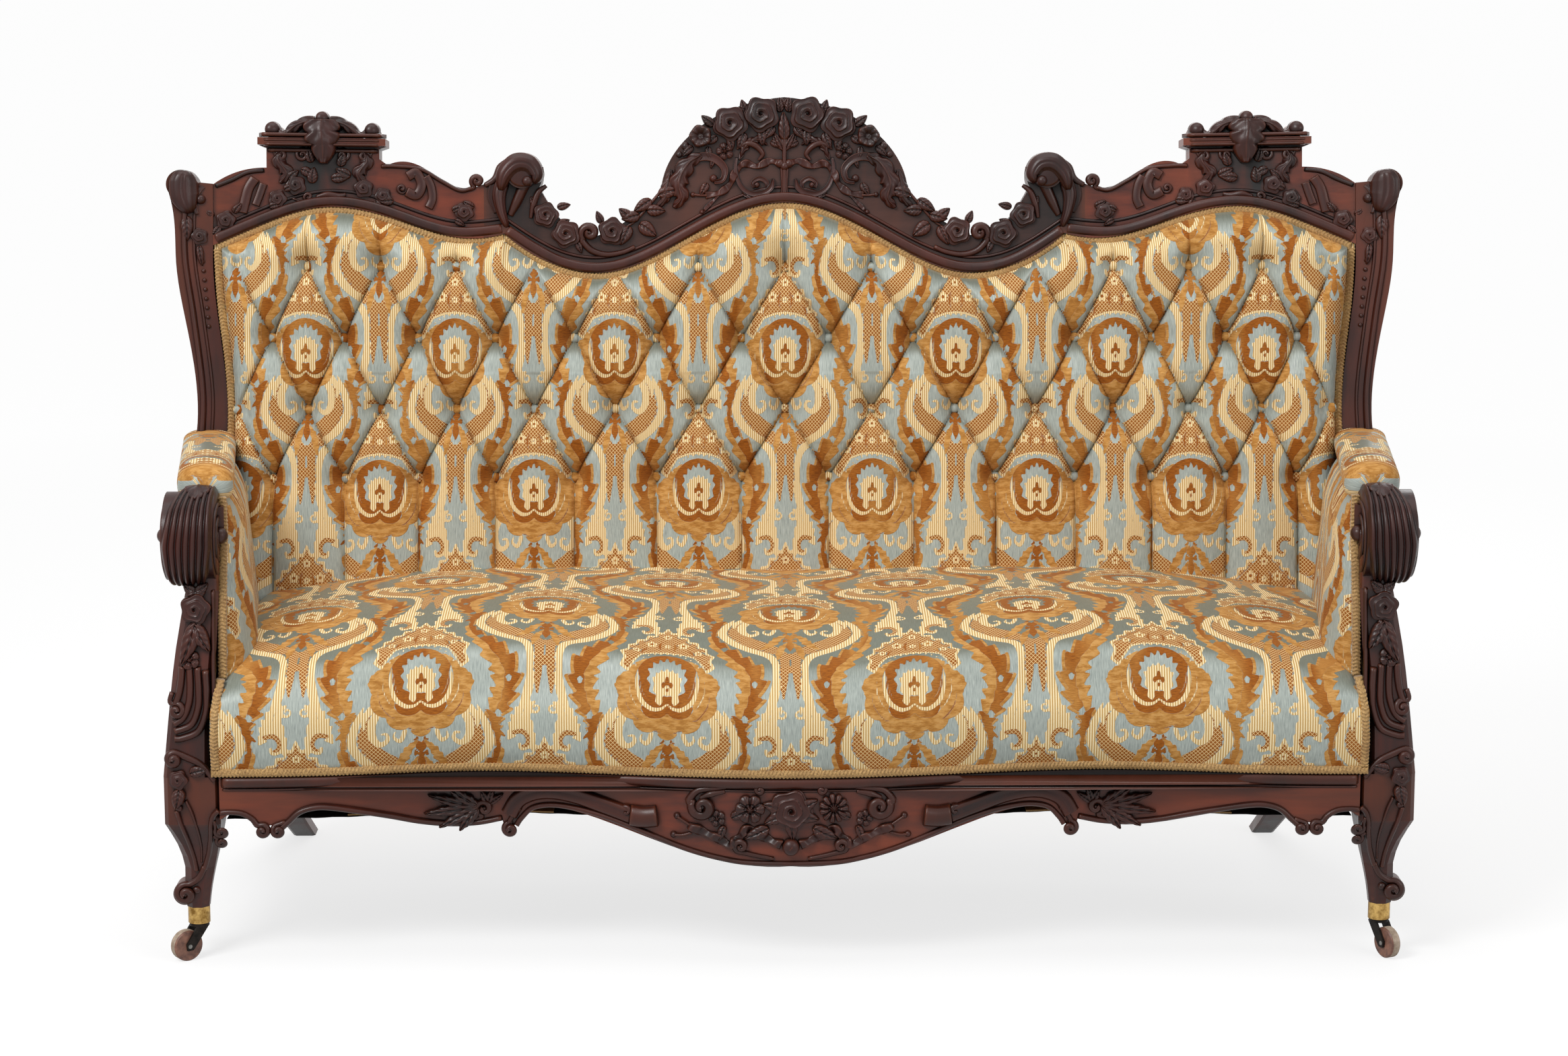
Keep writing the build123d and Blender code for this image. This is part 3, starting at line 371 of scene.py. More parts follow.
def metal_material(name, dark, light, low, high, metallic):
    """Metal or wheel with a patchy, worn surface; low and high are its roughness."""
    mat, g = new_material(name)
    place = g.coords()
    patina = g.noise(place, 90.0, 5.0, 0.65)
    fine = g.noise(place, 700.0, 2.0)
    g.put("Base Color", g.mix(g.span(patina, 0.35, 0.65), rgb(dark), rgb(light)))
    g.put("Roughness", g.span(patina, 0.3, 0.7, low, high))
    g.put("Metallic", metallic)
    g.bump(g.add(patina, fine), 0.3, 0.0006)
    return mat


def cloth_material(name, dark, light, pitch):
    """Plain woven cloth."""
    mat, g = new_material(name)
    x, y, z = g.xyz(g.coords())
    threads = g.span(g.mul(g.wave(x, pitch), g.wave(g.add(y, z), pitch)), -1.0, 1.0)
    slub = g.noise(g.coords(), 60.0, 4.0)
    g.put("Base Color", g.mix(g.mul(g.add(threads, slub), 0.5), rgb(dark), rgb(light)))
    g.put("Roughness", g.span(slub, 0.3, 0.7, 0.82, 0.95))
    g.bump(threads, 0.4, 0.0006)
    return mat


WOOD_X = wood_material("wood_along", 0, "3A140B", "6E2E1A", "96472A")
WOOD_CREST = wood_material("wood_crest", 0, "20100C", "3C211A", "553329", 0.06)
WOOD_Z = wood_material("wood_upright", 2, "1E0805", "3E150B", "642716", 0.10)
WOOD_Y = wood_material("wood_deep", 1)
CARVED = wood_material("wood_carved", 2, "1A0704", "32100A", "522012", 0.08)
INNER_WOOD = wood_material("wood_inner", 0, "5E4022", "8A6338", "A98250", 0.0)
DAMASK = damask_material()
BRAID = braid_material()
BRASS = metal_material("aged_brass", "7C5C2C", "CDAA68", 0.30, 0.5, 1.0)
IRON = metal_material("dark_iron", "0C0A09", "2C2622", 0.45, 0.7, 0.8)
STEEL = metal_material("drawn_steel", "5A5854", "8E8C88", 0.25, 0.45, 1.0)
WHEEL = metal_material("worn_wheel", "54342A", "8E6452", 0.4, 0.65, 0.0)
TREAD = metal_material("worn_tread", "86725F", "BDAB98", 0.6, 0.85, 0.0)
JUTE = cloth_material("jute", "7D5F38", "B79562", 0.0024)
BLACK_CLOTH = cloth_material("dust_cloth", "0A0A0A", "1D1C1B", 0.0012)


# Damask drawing, in millimetres about a medallion: mirrored left and right, repeated with a half drop
HALF_W, DROP, CELL = 172.0, 208.0, 0.5
GRID_U, GRID_V = int(HALF_W / CELL), int(2 * DROP / CELL)
CREAM, RUST, TAN, GOLD = 1, 2, 3, 4
canvas = np.zeros((GRID_V, GRID_U), np.int8)


def smooth_path(points, n=40):
    """Catmull-Rom curve through the points."""
    p = np.array(points, float)
    p = np.vstack([2 * p[0] - p[1], p, 2 * p[-1] - p[-2]])
    t = np.linspace(0, len(p) - 3, n)
    i = np.minimum(t.astype(int), len(p) - 4)
    f = (t - i)[:, None]
    a, b, c, d = p[i], p[i + 1], p[i + 2], p[i + 3]
    return 0.5 * (2 * b + (c - a) * f + (2 * a - 5 * b + 4 * c - d) * f**2 + (3 * b - a - 3 * c + d) * f**3)


def normals_2d(path):
    """Directions to the left of a line."""
    d = np.gradient(path, axis=0)
    d /= np.maximum(np.linalg.norm(d, axis=1), 1e-9)[:, None]
    return np.column_stack([-d[:, 1], d[:, 0]])


def arc_lengths(path):
    """Distance along a line at each of its points."""
    return np.concatenate([[0], np.cumsum(np.linalg.norm(np.diff(path, axis=0), axis=1))])


def copies(points):
    """The places in one half repeat where a shape shows."""
    for sign in (1, -1):
        for base, flip, lift in ((0, 1, 0), (0, 1, 2 * DROP), (0, 1, -2 * DROP), (HALF_W, -1, DROP),
                                 (HALF_W, -1, -DROP)):
            yield np.column_stack([base + flip * sign * points[:, 0], points[:, 1] + lift])


def window(points, margin):
    """The part of the canvas round a shape, and its places in millimetres."""
    low, high = points.min(0) - margin, points.max(0) + margin
    i0, i1 = max(0, int(low[0] / CELL)), min(GRID_U, int(high[0] / CELL) + 1)
    j0, j1 = max(0, int((low[1] + DROP) / CELL)), min(GRID_V, int((high[1] + DROP) / CELL) + 1)
    if i0 >= i1 or j0 >= j1:
        return None
    u = (np.arange(i0, i1) + 0.5) * CELL
    v = (np.arange(j0, j1) + 0.5) * CELL - DROP
    return canvas[j0:j1, i0:i1], u, v


def fill(points, value):
    """Fills a closed outline."""
    for pts in copies(np.asarray(points, float)):
        found = window(pts, 0)
        if found is None:
            continue
        view, u, v = found
        inside = np.zeros(view.shape, bool)
        for (x0, y0), (x1, y1) in zip(pts, np.roll(pts, -1, 0)):
            rows = (v >= min(y0, y1)) & (v < max(y0, y1))
            if rows.any():
                cross = x0 + (v[rows] - y0) * (x1 - x0) / (y1 - y0)
                inside[rows] ^= u[None, :] < cross[:, None]
        view[inside] = value


def stroke(points, widths, value, n=40):
    """Draws a ribbon of changing width along a smooth line."""
    path = smooth_path(points, n)
    wide = np.interp(np.linspace(0, 1, n), np.linspace(0, 1, len(widths)), widths) / 2
    for pts in copies(path):
        found = window(pts, wide.max())
        if found is None:
            continue
        view, u, v = found
        uu, vv = np.meshgrid(u, v)
        hit = np.zeros(view.shape, bool)
        for a, b, wa, wb in zip(pts[:-1], pts[1:], wide[:-1], wide[1:]):
            d = b - a
            s = np.clip(((uu - a[0]) * d[0] + (vv - a[1]) * d[1]) / max(d @ d, 1e-9), 0, 1)
            near = (uu - a[0] - s * d[0]) ** 2 + (vv - a[1] - s * d[1]) ** 2
            hit |= near < (wa + (wb - wa) * s) ** 2
        view[hit] = value


def feather(points, left, right, teeth, bite, value, n=120):
    """A leaf along a curved rib, its edges cut into pointed teeth."""
    path = smooth_path(points, n)
    side = normals_2d(path)
    t = np.linspace(0, 1, n)
    saw = 1 - bite * ((t * teeth) % 1.0)
    shape = np.sqrt(np.clip(np.sin(np.pi * np.clip(t * 0.96 + 0.02, 0, 1)), 0, 1))
    wl = np.interp(t, np.linspace(0, 1, len(left)), left) * saw * shape
    wr = np.interp(t, np.linspace(0, 1, len(right)), right) * saw * shape
    fill(np.vstack([path + side * wl[:, None], (path - side * wr[:, None])[::-1]]), value)


def rosette(cx, cy, rx, ry, petals, depth, value):
    """A round or oval flower with lobes."""
    a = np.linspace(0, ROUND, 90, endpoint=False)
    r = 1 - depth * (0.5 - 0.5 * np.cos(petals * a))
    fill(np.column_stack([cx + rx * r * np.sin(a), cy + ry * r * np.cos(a)]), value)


def curl(cx, cy, radius, start, turns, w0, w1, value):
    """A ribbon curling in to a point."""
    t = np.linspace(0, 1, 26)
    a = math.radians(start) + turns * ROUND * t
    r = radius * (1 - 0.78 * t)
    stroke(np.column_stack([cx + r * np.cos(a), cy + r * np.sin(a)]), (w0, w1), value, 48)


def fill_both(half, value):
    """Fills an outline given by its right half."""
    half = np.asarray(half, float)
    fill(np.vstack([half, half[::-1] * (-1, 1)]), value)


def draw_damask():
    """Draws one half repeat, from its ground to its last detail."""
    # Serrated leaves in a winding stripe between the medallions
    rib = [(64, 126), (66, 92), (92, 52), (118, 14), (116, -24), (103, -56), (104, -82), (110, -106)]
    feather(rib, (13, 22, 26, 26, 24, 19, 15, 10), (9, 17, 23, 27, 25, 19, 14, 9), 13, 0.48, TAN)
    feather(rib, (11, 19, 22, 21, 18, 14, 12, 7), (1, 2, 4, 5, 5, 3, 2, 1), 13, 0.60, RUST)
    feather([(118, -84), (104, -70), (98, -52), (88, -44)], (3, 7, 6, 2), (3, 7, 6, 2), 4, 0.45, RUST)
    curl(96, -78, 8, 20, 1.1, 4, 2, RUST)
    for cx, cy in ((80, 74), (122, 0), (108, -50)):
        rosette(cx, cy, 4.6, 6.5, 5, 0.35, 0)
    # Ogee: a cream band beside a beaded lattice, rounding a bowl and drawn in to a waist
    cream_band = [(94, 170), (82, 143), (77, 116), (91, 93), (113, 77), (141, 61), (151, 40), (153, 10), (149, -16),
                  (140, -46)]
    lattice = [(101, 166), (97, 140), (96, 119), (113, 98), (139, 82), (160, 66), (164, 42), (162, 8), (162, -22)]
    stroke(cream_band, (2, 11, 13, 13, 13, 12, 11, 12, 14, 10), CREAM, 70)
    stroke(lattice, (3, 17, 24, 25, 24, 16, 13, 13, 2), GOLD, 70)
    for cx, cy, r in ((172, 60, 8), (172, 26, 7)):
        rosette(cx, cy, r, r, 4, 0.25, GOLD)
    beads = [(90, 146), (86, 118), (102, 96), (126, 80), (150, 64), (157, 40), (157, 12), (155, -10)]
    for x, y in smooth_path(beads, 22):
        rosette(x, y, 1.8, 1.8, 4, 0.2, RUST)
    feather([(150, 30), (150, 0), (146, -30)], (8, 11, 9), (1, 1, 1), 6, 0.5, CREAM)
    # Cream leaves and curls under the waist
    feather([(150, -14), (144, -44), (134, -68), (121, -88)], (5, 12, 14, 8), (6, 15, 18, 9), 6, 0.45, CREAM)
    feather([(150, -40), (150, -66), (154, -90), (160, -112)], (3, 9, 9, 3), (3, 10, 9, 3), 4, 0.45, CREAM)
    stroke([(150, -18), (143, -46), (132, -72)], (0.9, 1.6, 0.9), 0)
    curl(160, -42, 8.5, 100, 1.35, 4.2, 2, CREAM)
    stroke([(128, -76), (142, -74), (151, -84), (148, -97), (140, -100), (137, -94)], (9, 10, 9, 8, 7, 5), CREAM, 50)
    stroke([(129, -77), (142, -76), (149, -85), (147, -95), (141, -97)], (6, 7, 6, 5.5, 4), GOLD, 50)
    # Fleur and leaves below the medallion, with cream scrolls beside them
    feather([(0, -62), (0, -84), (0, -106), (0, -136)], (9, 10, 14, 16, 3), (9, 10, 14, 16, 3), 6, 0.4, RUST)
    feather([(4, -86), (16, -100), (28, -118), (44, -134)], (5, 9, 9, 3), (4, 8, 9, 3), 6, 0.5, TAN)
    feather([(4, -108), (12, -128), (16, -144), (18, -160)], (4, 8, 7, 2), (4, 7, 7, 2), 5, 0.5, TAN)
    rosette(0, -84, 3.6, 7, 4, 0.35, 0)
    stroke([(3, -104), (9, -99), (12, -106), (8, -112), (5, -108)], (2.2, 2.2, 2, 1.4), 0)
    stroke([(34, -44), (52, -46), (66, -60), (67, -80), (57, -92), (46, -86), (47, -77), (54, -77)],
           (5, 10, 13, 12, 8, 6, 4, 3), CREAM, 60)
    feather([(46, -42), (62, -42), (76, -54), (78, -74)], (4, 9, 9, 3), (2, 4, 4, 2), 5, 0.45, CREAM)
    stroke([(28, -52), (22, -70), (28, -87), (37, -82), (35, -73)], (4, 7, 6, 4, 2), CREAM, 50)
    stroke([(40, -47), (54, -51), (62, -66)], (0.8, 1.5, 0.8), 0)
    # Lobed tan body behind the medallion
    for cx, cy, rx, ry in ((0, -4, 64, 46), (46, -30, 24, 24), (26, -52, 22, 20), (0, -62, 17, 20)):
        rosette(cx, cy, rx, ry, 3, 0.02, TAN)
    feather([(58, 14), (66, -4), (64, -24)], (6, 9, 4), (3, 6, 3), 4, 0.4, TAN)
    stroke([(60, -12), (56, -34), (42, -52), (30, -54)], (1, 2, 2, 1), RUST)
    stroke([(28, -66), (14, -70), (0, -76)], (1, 2, 1), RUST)
    # Crown of lattice with cream rosettes
    crown = [(0, 128), (7, 112), (15, 113), (17, 101), (29, 101), (31, 89), (43, 88), (45, 76), (56, 72), (56, 60),
             (67, 52), (61, 38), (67, 24), (55, 14), (46, 30), (36, 44), (18, 50), (0, 52)]
    fill_both(crown, CREAM)
    inside = [(0, 121), (5, 107), (13, 108), (14, 97), (26, 97), (28, 85), (40, 84), (42, 73), (53, 69), (52, 58),
              (62, 51), (57, 38), (62, 25), (55, 19), (48, 32), (37, 47), (18, 53), (0, 55)]
    fill_both(inside, GOLD)
    for cx, cy, r in ((0, 98, 7.5), (22, 76, 9), (43, 58, 7), (0, 72, 6)):
        rosette(cx, cy, r, r, 5, 0.4, CREAM)
        rosette(cx, cy, r * 0.35, r * 0.35, 5, 0.2, RUST)
    stroke([(8, 84), (11, 72), (9, 60)], (2, 4, 2), RUST)
    stroke([(28, 64), (34, 58), (36, 50)], (2, 4, 2), RUST)
    stroke([(10, 104), (22, 92), (36, 78), (50, 62), (57, 44)], (0.8, 1.6, 1.8, 1.6, 0.8), RUST, 50)
    for a in np.linspace(-62, 62, 13):
        rosette(50 * math.sin(math.radians(a)), 2 + 48 * math.cos(math.radians(a)), 2.1, 2.1, 4, 0.2, CREAM)
    # Medallion: rust ring, spiky opening, cream flower and crescents
    rosette(0, 1, 45, 44, 3, 0.01, RUST)
    rosette(17, -36, 19, 16, 3, 0.02, RUST)
    spikes = [(0, 41), (4, 29), (10, 37), (12, 26), (20, 31), (19, 20), (28, 21), (23, 11), (29, 5), (23, -3),
              (26, -13), (19, -17), (0, -20)]
    fill_both(spikes, 0)
    flower = [(0, 22), (4, 14), (8, 20), (11, 12), (16, 16), (16, 7), (22, 8), (18, -2), (20, -12), (15, -18),
              (17, -28), (10, -34), (6, -28), (7, -20), (2, -18), (0, -22)]
    fill_both(flower, CREAM)
    rosette(0, 2, 3.4, 7, 2, 0.15, RUST)
    for cx in (-5.5, 5.5):
        rosette(cx, -4, 3.0, 4.6, 2, 0.1, RUST)
    rosette(0, -11, 2.0, 4, 2, 0.1, RUST)
    stroke([(41, 16), (42, -4), (36, -26), (22, -38), (9, -38), (0, -31)], (1.5, 4.5, 6.5, 6, 4, 2), CREAM, 50)
    stroke([(36, 22), (38, 4), (33, -16), (24, -27)], (0.8, 1.8, 1.8, 0.8), TAN, 40)
    stroke([(52, 8), (52, -14), (44, -32), (34, -42)], (0.8, 2.0, 2.0, 0.8), CREAM, 40)


def blurred(mask, sigma):
    """Soft edges on one class, mirrored across the sides and wrapped from top to bottom."""
    reach = int(3 * sigma) + 1
    k = np.exp(-0.5 * (np.arange(-reach, reach + 1) / sigma) ** 2)
    k /= k.sum()
    wide = np.pad(mask.astype(np.float32), ((reach, reach), (0, 0)), mode="wrap")
    wide = np.pad(wide, ((0, 0), (reach, reach)), mode="symmetric")
    rows = sum(w * wide[i:i + GRID_V] for i, w in enumerate(k))
    return sum(w * rows[:, i:i + GRID_U] for i, w in enumerate(k))


draw_damask()
WEAVE = np.stack([blurred(canvas == c, 1.9) for c in (CREAM, RUST, TAN, GOLD)], -1)


def weave_at(u, v):
    """Class weights at flat cloth places in millimetres."""
    u = np.abs(((np.asarray(u, float) + HALF_W) % (2 * HALF_W)) - HALF_W)
    gu = np.clip(u / CELL - 0.5, 0, GRID_U - 1.001)
    gv = ((np.asarray(v, float) + DROP) / CELL - 0.5) % GRID_V
    i, j = gu.astype(int), gv.astype(int)
    fu, fv = (gu - i)[..., None], (gv - j)[..., None]
    k = (j + 1) % GRID_V
    j = j % GRID_V
    low = WEAVE[j, i] * (1 - fu) + WEAVE[j, i + 1] * fu
    high = WEAVE[k, i] * (1 - fu) + WEAVE[k, i + 1] * fu
    return low * (1 - fv) + high * fv


def cloth_object(name, verts, faces, flat, node):
    """A damask piece in place of a soft solid; flat holds each point's place on the cloth, in metres."""
    obj = make_object(name, verts, faces, DAMASK)
    mesh = obj.data
    flat = np.asarray(flat, float).reshape(-1, 2)
    paint = mesh.color_attributes.new("weave", "FLOAT_COLOR", "POINT")
    paint.data.foreach_set("color", weave_at(flat[:, 0] * 1000, flat[:, 1] * 1000).astype(np.float32).ravel())
    layer = mesh.uv_layers.new(name="Cloth")
    index = np.zeros(len(mesh.loops), np.int32)
    mesh.loops.foreach_get("vertex_index", index)
    layer.data.foreach_set("uv", flat[index].astype(np.float32).ravel())
    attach(obj, "frame")
    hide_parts(node)


def unit_grid(rows, cols, low=0.0):
    """Shares across, from low to 1, and up, from 0 to 1, at each point of a grid."""
    across, up = np.meshgrid(np.linspace(low, 1, cols), np.linspace(0, 1, rows))
    return across, up


def tight(share):
    """A quarter round, from 0 at the edge to 1 where the stuffing is full."""
    return np.sqrt(np.clip(1 - (1 - np.clip(share, 0, 1)) ** 2, 0, 1))


def closed_pad(name, front, flat, ends, node, turned=False):
    """A pad from its front grid, closed at the back by strips between its first and last rows."""
    if turned:
        front, flat, ends = front[:, ::-1], flat[:, ::-1], ends[:, ::-1]
    rows, cols = front.shape[:2]
    verts = np.concatenate([front.reshape(-1, 3), ends.reshape(-1, 3)])
    base = rows * cols
    count = len(ends)
    faces = grid_faces(rows, cols)
    ring = [np.arange(cols)] + [base + k * cols + np.arange(cols) for k in range(count)]
    ring.append((rows - 1) * cols + np.arange(cols))
    for a, b in zip(ring[:-1], ring[1:]):
        faces += [(a[i + 1], a[i], b[i], b[i + 1]) for i in range(cols - 1)]
    for c, turn in ((0, 1), (cols - 1, -1)):
        edge = [r * cols + c for r in range(rows)] + [base + k * cols + c for k in range(count - 1, -1, -1)]
        faces.append(tuple(edge[::turn][::-1]))
    flat_back = np.repeat(flat[:1], count, 0).reshape(-1, 2)
    cloth_object(name, verts, faces, np.concatenate([flat.reshape(-1, 2), flat_back]), node)


def tuft_x(k):
    """Place across of a button column; the columns close up towards the ends."""
    return (TUFT_STEP - TUFT_CLOSE * np.abs(k)) * k


def tuft_k(x):
    """Button column at a place across, with its fraction."""
    root = np.sqrt(np.maximum(TUFT_STEP**2 - 4 * TUFT_CLOSE * np.abs(x), 0))
    return np.sign(x) * (TUFT_STEP - root) / (2 * TUFT_CLOSE)


def tuft_row(v):
    """Button row at a height up the rake, with its fraction."""
    inside = np.interp(v, TUFT_ROWS, range(4))
    below = (v - TUFT_ROWS[0]) / (TUFT_ROWS[1] - TUFT_ROWS[0])
    above = 3 + (v - TUFT_ROWS[3]) / (TUFT_ROWS[3] - TUFT_ROWS[2])
    return np.where(v < TUFT_ROWS[0], below, np.where(v > TUFT_ROWS[3], above, inside))


BACK_FULL, BACK_EDGE = 0.066, 0.003  # height of the pillows and of the strip at the edge
BACK_WIDE, BACK_TALL, BACK_LOW = 1.74, 0.60, -0.035  # size, and how far the pad goes down behind the seat
CLOTH_STEP_U, CLOTH_STEP_V = 0.086, 0.104  # flat cloth between button columns and rows
CLOTH_EASE = 1.12  # flat cloth for each measure across a pillow
DIAMOND = 0.107  # distance between the pleats of one pillow
PLEAT_DEEP, CREASE_DEEP, CREASE_WIDE = 0.0175, 0.0055, 0.0022
PITS = ((0.020, 0.0165), (0.007, 0.042))  # depth and reach of the hollows round a button
CREST_DIP = (3, 7)  # columns between which the top row has no button, where the crest dips
BUTTON_END, BUTTON_LAST = 0.835, 12  # no button beyond this place, nor beyond this column in the top row
TUFT_END, TUFT_FADE = 0.845, 0.03  # where the buttoning stops, and the distance over which it does
EDGE_STRIP, EDGE_ROLL = 0.012, 0.050  # flat strip at the edge, and the roll inside it


def tufted(x, v, edge):
    """Height of the buttoned back over its frame, and each point's place on the flat cloth."""
    k, r = tuft_k(x), tuft_row(v)
    rc = np.clip(r, 0, 3)
    p, m = (k + rc - 1) / 2, (k - rc - 1) / 2
    ip, im = np.floor(p), np.floor(m)
    fp, fm = p - ip, m - im
    pillow = np.sqrt(np.abs(np.sin(np.pi * fp) * np.sin(np.pi * fm)))
    # Nearest button, for the pits
    br = np.clip(np.round(rc), 0, 3)
    bk = 2 * np.round((k - (br + 1) % 2) / 2) + (br + 1) % 2
    bv = np.interp(br, range(4), TUFT_ROWS)
    away = np.hypot(x - tuft_x(bk), v - bv)
    in_dip = (br == 3) & (np.abs(bk) > CREST_DIP[0]) & (np.abs(bk) < CREST_DIP[1])
    fade = np.clip((TUFT_END - np.abs(x)) / TUFT_FADE, 0, 1)
    crease = np.minimum(np.minimum(fp, 1 - fp), np.minimum(fm, 1 - fm)) * DIAMOND
    pleat = PLEAT_DEEP * (1 - pillow**0.60) + CREASE_DEEP * np.exp(-(crease / CREASE_WIDE) ** 2)
    soft_top = np.clip(1.25 - (r - 3) * 1.1, 0.25, 1.0)
    pit = np.where(in_dip, 0.0, 1.0) * sum(deep * np.exp(-(away / reach) ** 2) for deep, reach in PITS)
    height = BACK_FULL - (pleat * soft_top + pit) * fade
    # Column in whose diamond the cloth lies
    kc = ip + im + 2
    kc = np.where(r < 0, 2 * np.round(k / 2), np.where(r > 3, 2 * np.round((k - 1) / 2) + 1, kc))
    flat_u = kc * CLOTH_STEP_U + (x - tuft_x(kc)) * CLOTH_EASE
    flat_v = (r - 2) * CLOTH_STEP_V
    rolled = tight((edge - EDGE_STRIP) / EDGE_ROLL)
    return BACK_EDGE + (height - BACK_EDGE) * rolled, np.stack([flat_u, flat_v], -1)


def build_back():
    """The buttoned back, between the crest, the stiles and the seat."""
    s, t = unit_grid(int(BACK_TALL / FINE), int(BACK_WIDE / FINE), -1)
    x = s * 0.86
    for _ in range(6):
        v = BACK_LOW + t * (crest_low(x) + 0.002 - BACK_LOW)
        x = s * (stile_inner(v) - 0.001)
    run = np.linspace(-CREST_END, CREST_END, 2001)
    slope = np.gradient(crest_low(run), 2 * CREST_END / 2000)
    tilt = np.interp(x, run, np.cos(np.arctan(slope)))
    edge = np.minimum((crest_low(x) + 0.002 - v) * tilt, stile_inner(v) - np.abs(x))
    height, flat = tufted(x, v, edge)
    ends = on_back(x[[0, -1]], v[[0, -1]], -0.004)
    closed_pad("back_upholstery", on_back(x, v, height), flat + (0.0, 0.017), ends, "back_pad")


BUTTON_RINGS = ((0.0074, -0.003), (0.0080, 0.002), (0.0074, 0.0045), (0.0056, 0.0066), (0.0029, 0.0078),
                (0.0005, 0.0082))
BUTTON_BASE, BUTTON_SIDES = 0.0225, 20


def build_buttons():
    """Covered buttons, each cut from its own place on the cloth."""
    verts, flats, faces = [], [], []
    r, h = np.array(BUTTON_RINGS).T[:, :, None]
    a = np.linspace(0, ROUND, BUTTON_SIDES, endpoint=False)
    for row, v in enumerate(TUFT_ROWS):
        for k in range(-14, 15):
            x = float(tuft_x(k))
            bare = row == 3 and (CREST_DIP[0] < abs(k) < CREST_DIP[1] or abs(k) > BUTTON_LAST)
            if (k + row) % 2 == 0 or abs(x) > BUTTON_END or bare:
                continue
            cut = RNG.uniform(-0.1, 0.1), RNG.uniform(-0.1, 0.1)
            ring_x, ring_v = x + r * np.cos(a), v + r * np.sin(a)
            faces += grid_faces(len(r), BUTTON_SIDES, len(r) * BUTTON_SIDES * len(verts), True)
            verts.append(on_back(ring_x, ring_v, BUTTON_BASE + h))
            flats.append(np.stack([ring_x - x + cut[0], ring_v - v + cut[1]], -1))
    cloth_object("back_button_covers", np.reshape(verts, (-1, 3)), faces, flats, "back_buttons")


seat_side = spline_fit([(-0.420, 0.398), (-0.360, 0.424), (-0.270, 0.454), (-0.160, 0.468), (0.020, 0.465),
                        (0.360, 0.446)])
SEAT_CROWN = 0.469
seat_cross = spline_fit(mirrored([(0.716, 0.458), (0.826, 0.441)], (0, SEAT_CROWN)))
SEAT_ROUND = 0.034  # rounding at the seat's two ends
SEAT_WIDE, SEAT_LONG = 1.60, 0.66  # size of the flat cloth
SEAT_ROLL, SEAT_DROP = 0.138, 0.208  # cloth up to the front roll, and the half drop of the pattern behind it


def build_seat():
    """Sprung seat: a deep front that rolls over to a crowned top."""
    cols, rows = int(SEAT_WIDE / FINE), int(SEAT_LONG / FINE)
    half = SEAT_HALF + 0.010
    front = np.zeros((rows, cols, 3))
    flat = np.zeros((rows, cols, 2))
    for i, x in enumerate(np.linspace(-half, half, cols)):
        yf = float(apron_y(x))
        sag = float(seat_cross(x)) - SEAT_CROWN
        gone = max(0.0, (abs(x) - (half - SEAT_ROUND)) / SEAT_ROUND)
        drop = SEAT_ROUND * (1 - math.sqrt(max(0.0, 1 - gone**2)))
        top = np.linspace(yf + 0.062, float(on_back(x, 0.0, 0.040)[1]), 12)
        zs = seat_side(top) + sag - drop
        line = [(yf + 0.004, RAIL_TOP + 0.001), (yf - 0.004, RAIL_TOP + 0.018), (yf - 0.010, 0.318),
                (yf - 0.009, 0.356), (yf + 0.003, 0.388 - 0.5 * drop), (yf + 0.027, zs[0] - 0.014), *zip(top, zs)]
        path = smooth_path(line, 260)
        arc = arc_lengths(path)
        at = np.linspace(0, arc[-1], rows)
        front[:, i] = stacked(x, np.interp(at, arc, path[:, 0]), np.interp(at, arc, path[:, 1]))
        flat[:, i] = np.column_stack([np.full(rows, x), at - SEAT_ROLL - SEAT_DROP])
    ends = front[[0, -1]]
    ends[0, :, 1] += 0.03
    ends[:, :, 2] = RAIL_TOP + 0.001
    closed_pad("seat_upholstery", front, flat, ends, "seat_pad")


def arm_x(y):
    """Middle line of the arm rail."""
    return ARM_FRONT[0] + (y - ARM_FRONT[1]) * (ARM_REAR[0] - ARM_FRONT[0]) / (ARM_REAR[1] - ARM_FRONT[1])


def stile_front(z):
    """Front face of the stile at a height."""
    return BACK_Y + bow(CREST_END) * math.cos(RAKE) + (z - BACK_Z) * math.tan(RAKE)


ARM_PAD_FRONT, ARM_PAD_GIRTH, ARM_PAD_ROLL = -0.292, 0.215, 0.030  # front end, distance round, and rounded length


def build_arm_pads(side, name):
    """The stuffed top of the arm: a roll that rounds over at the front, above the scroll, and thins to the rear."""
    fine = max(FINE, 0.0026)
    y0, y1 = ARM_PAD_FRONT, float(stile_front(0.665)) + 0.004
    rows, cols = int((y1 - y0) / fine) + 14, int(ARM_PAD_GIRTH / fine)
    y = (y0 + (y1 - y0) * np.linspace(0, 1, rows) ** 1.15)[:, None]
    a = np.linspace(0, ROUND, cols, endpoint=False)
    swell = tight((y - y0) / ARM_PAD_ROLL)
    half_w, half_h = 0.010 + 0.030 * swell, 0.006 + 0.021 * swell
    half_h = half_h * (1 - 0.30 * np.clip((y - y0 - 0.06) / (y1 - y0 - 0.10), 0, 1))
    # Flat below, round above
    ca, sa = np.cos(a), np.sin(a)
    x = arm_x(y) + 0.002 + np.sign(ca) * np.abs(ca) ** 0.8 * half_w
    rise = np.where(sa > 0, np.abs(sa) ** 0.9, -np.abs(sa) ** 0.6)
    z = ARM_HIGH - 0.002 + half_h + 0.014 * (1 - swell) + rise * half_h
    rings = stacked(side * x, y, z)
    flats = np.stack(np.broadcast_arrays((a - math.pi / 2) * 0.034, y - y0 - 0.075), -1)
    if side < 0:
        rings, flats = rings[:, ::-1], flats[:, ::-1]
    faces = grid_faces(rows, cols, 0, True)
    cloth_object(f"arm_top_{name}", rings.reshape(-1, 3), faces, flats, f"arm_pad_{name}")


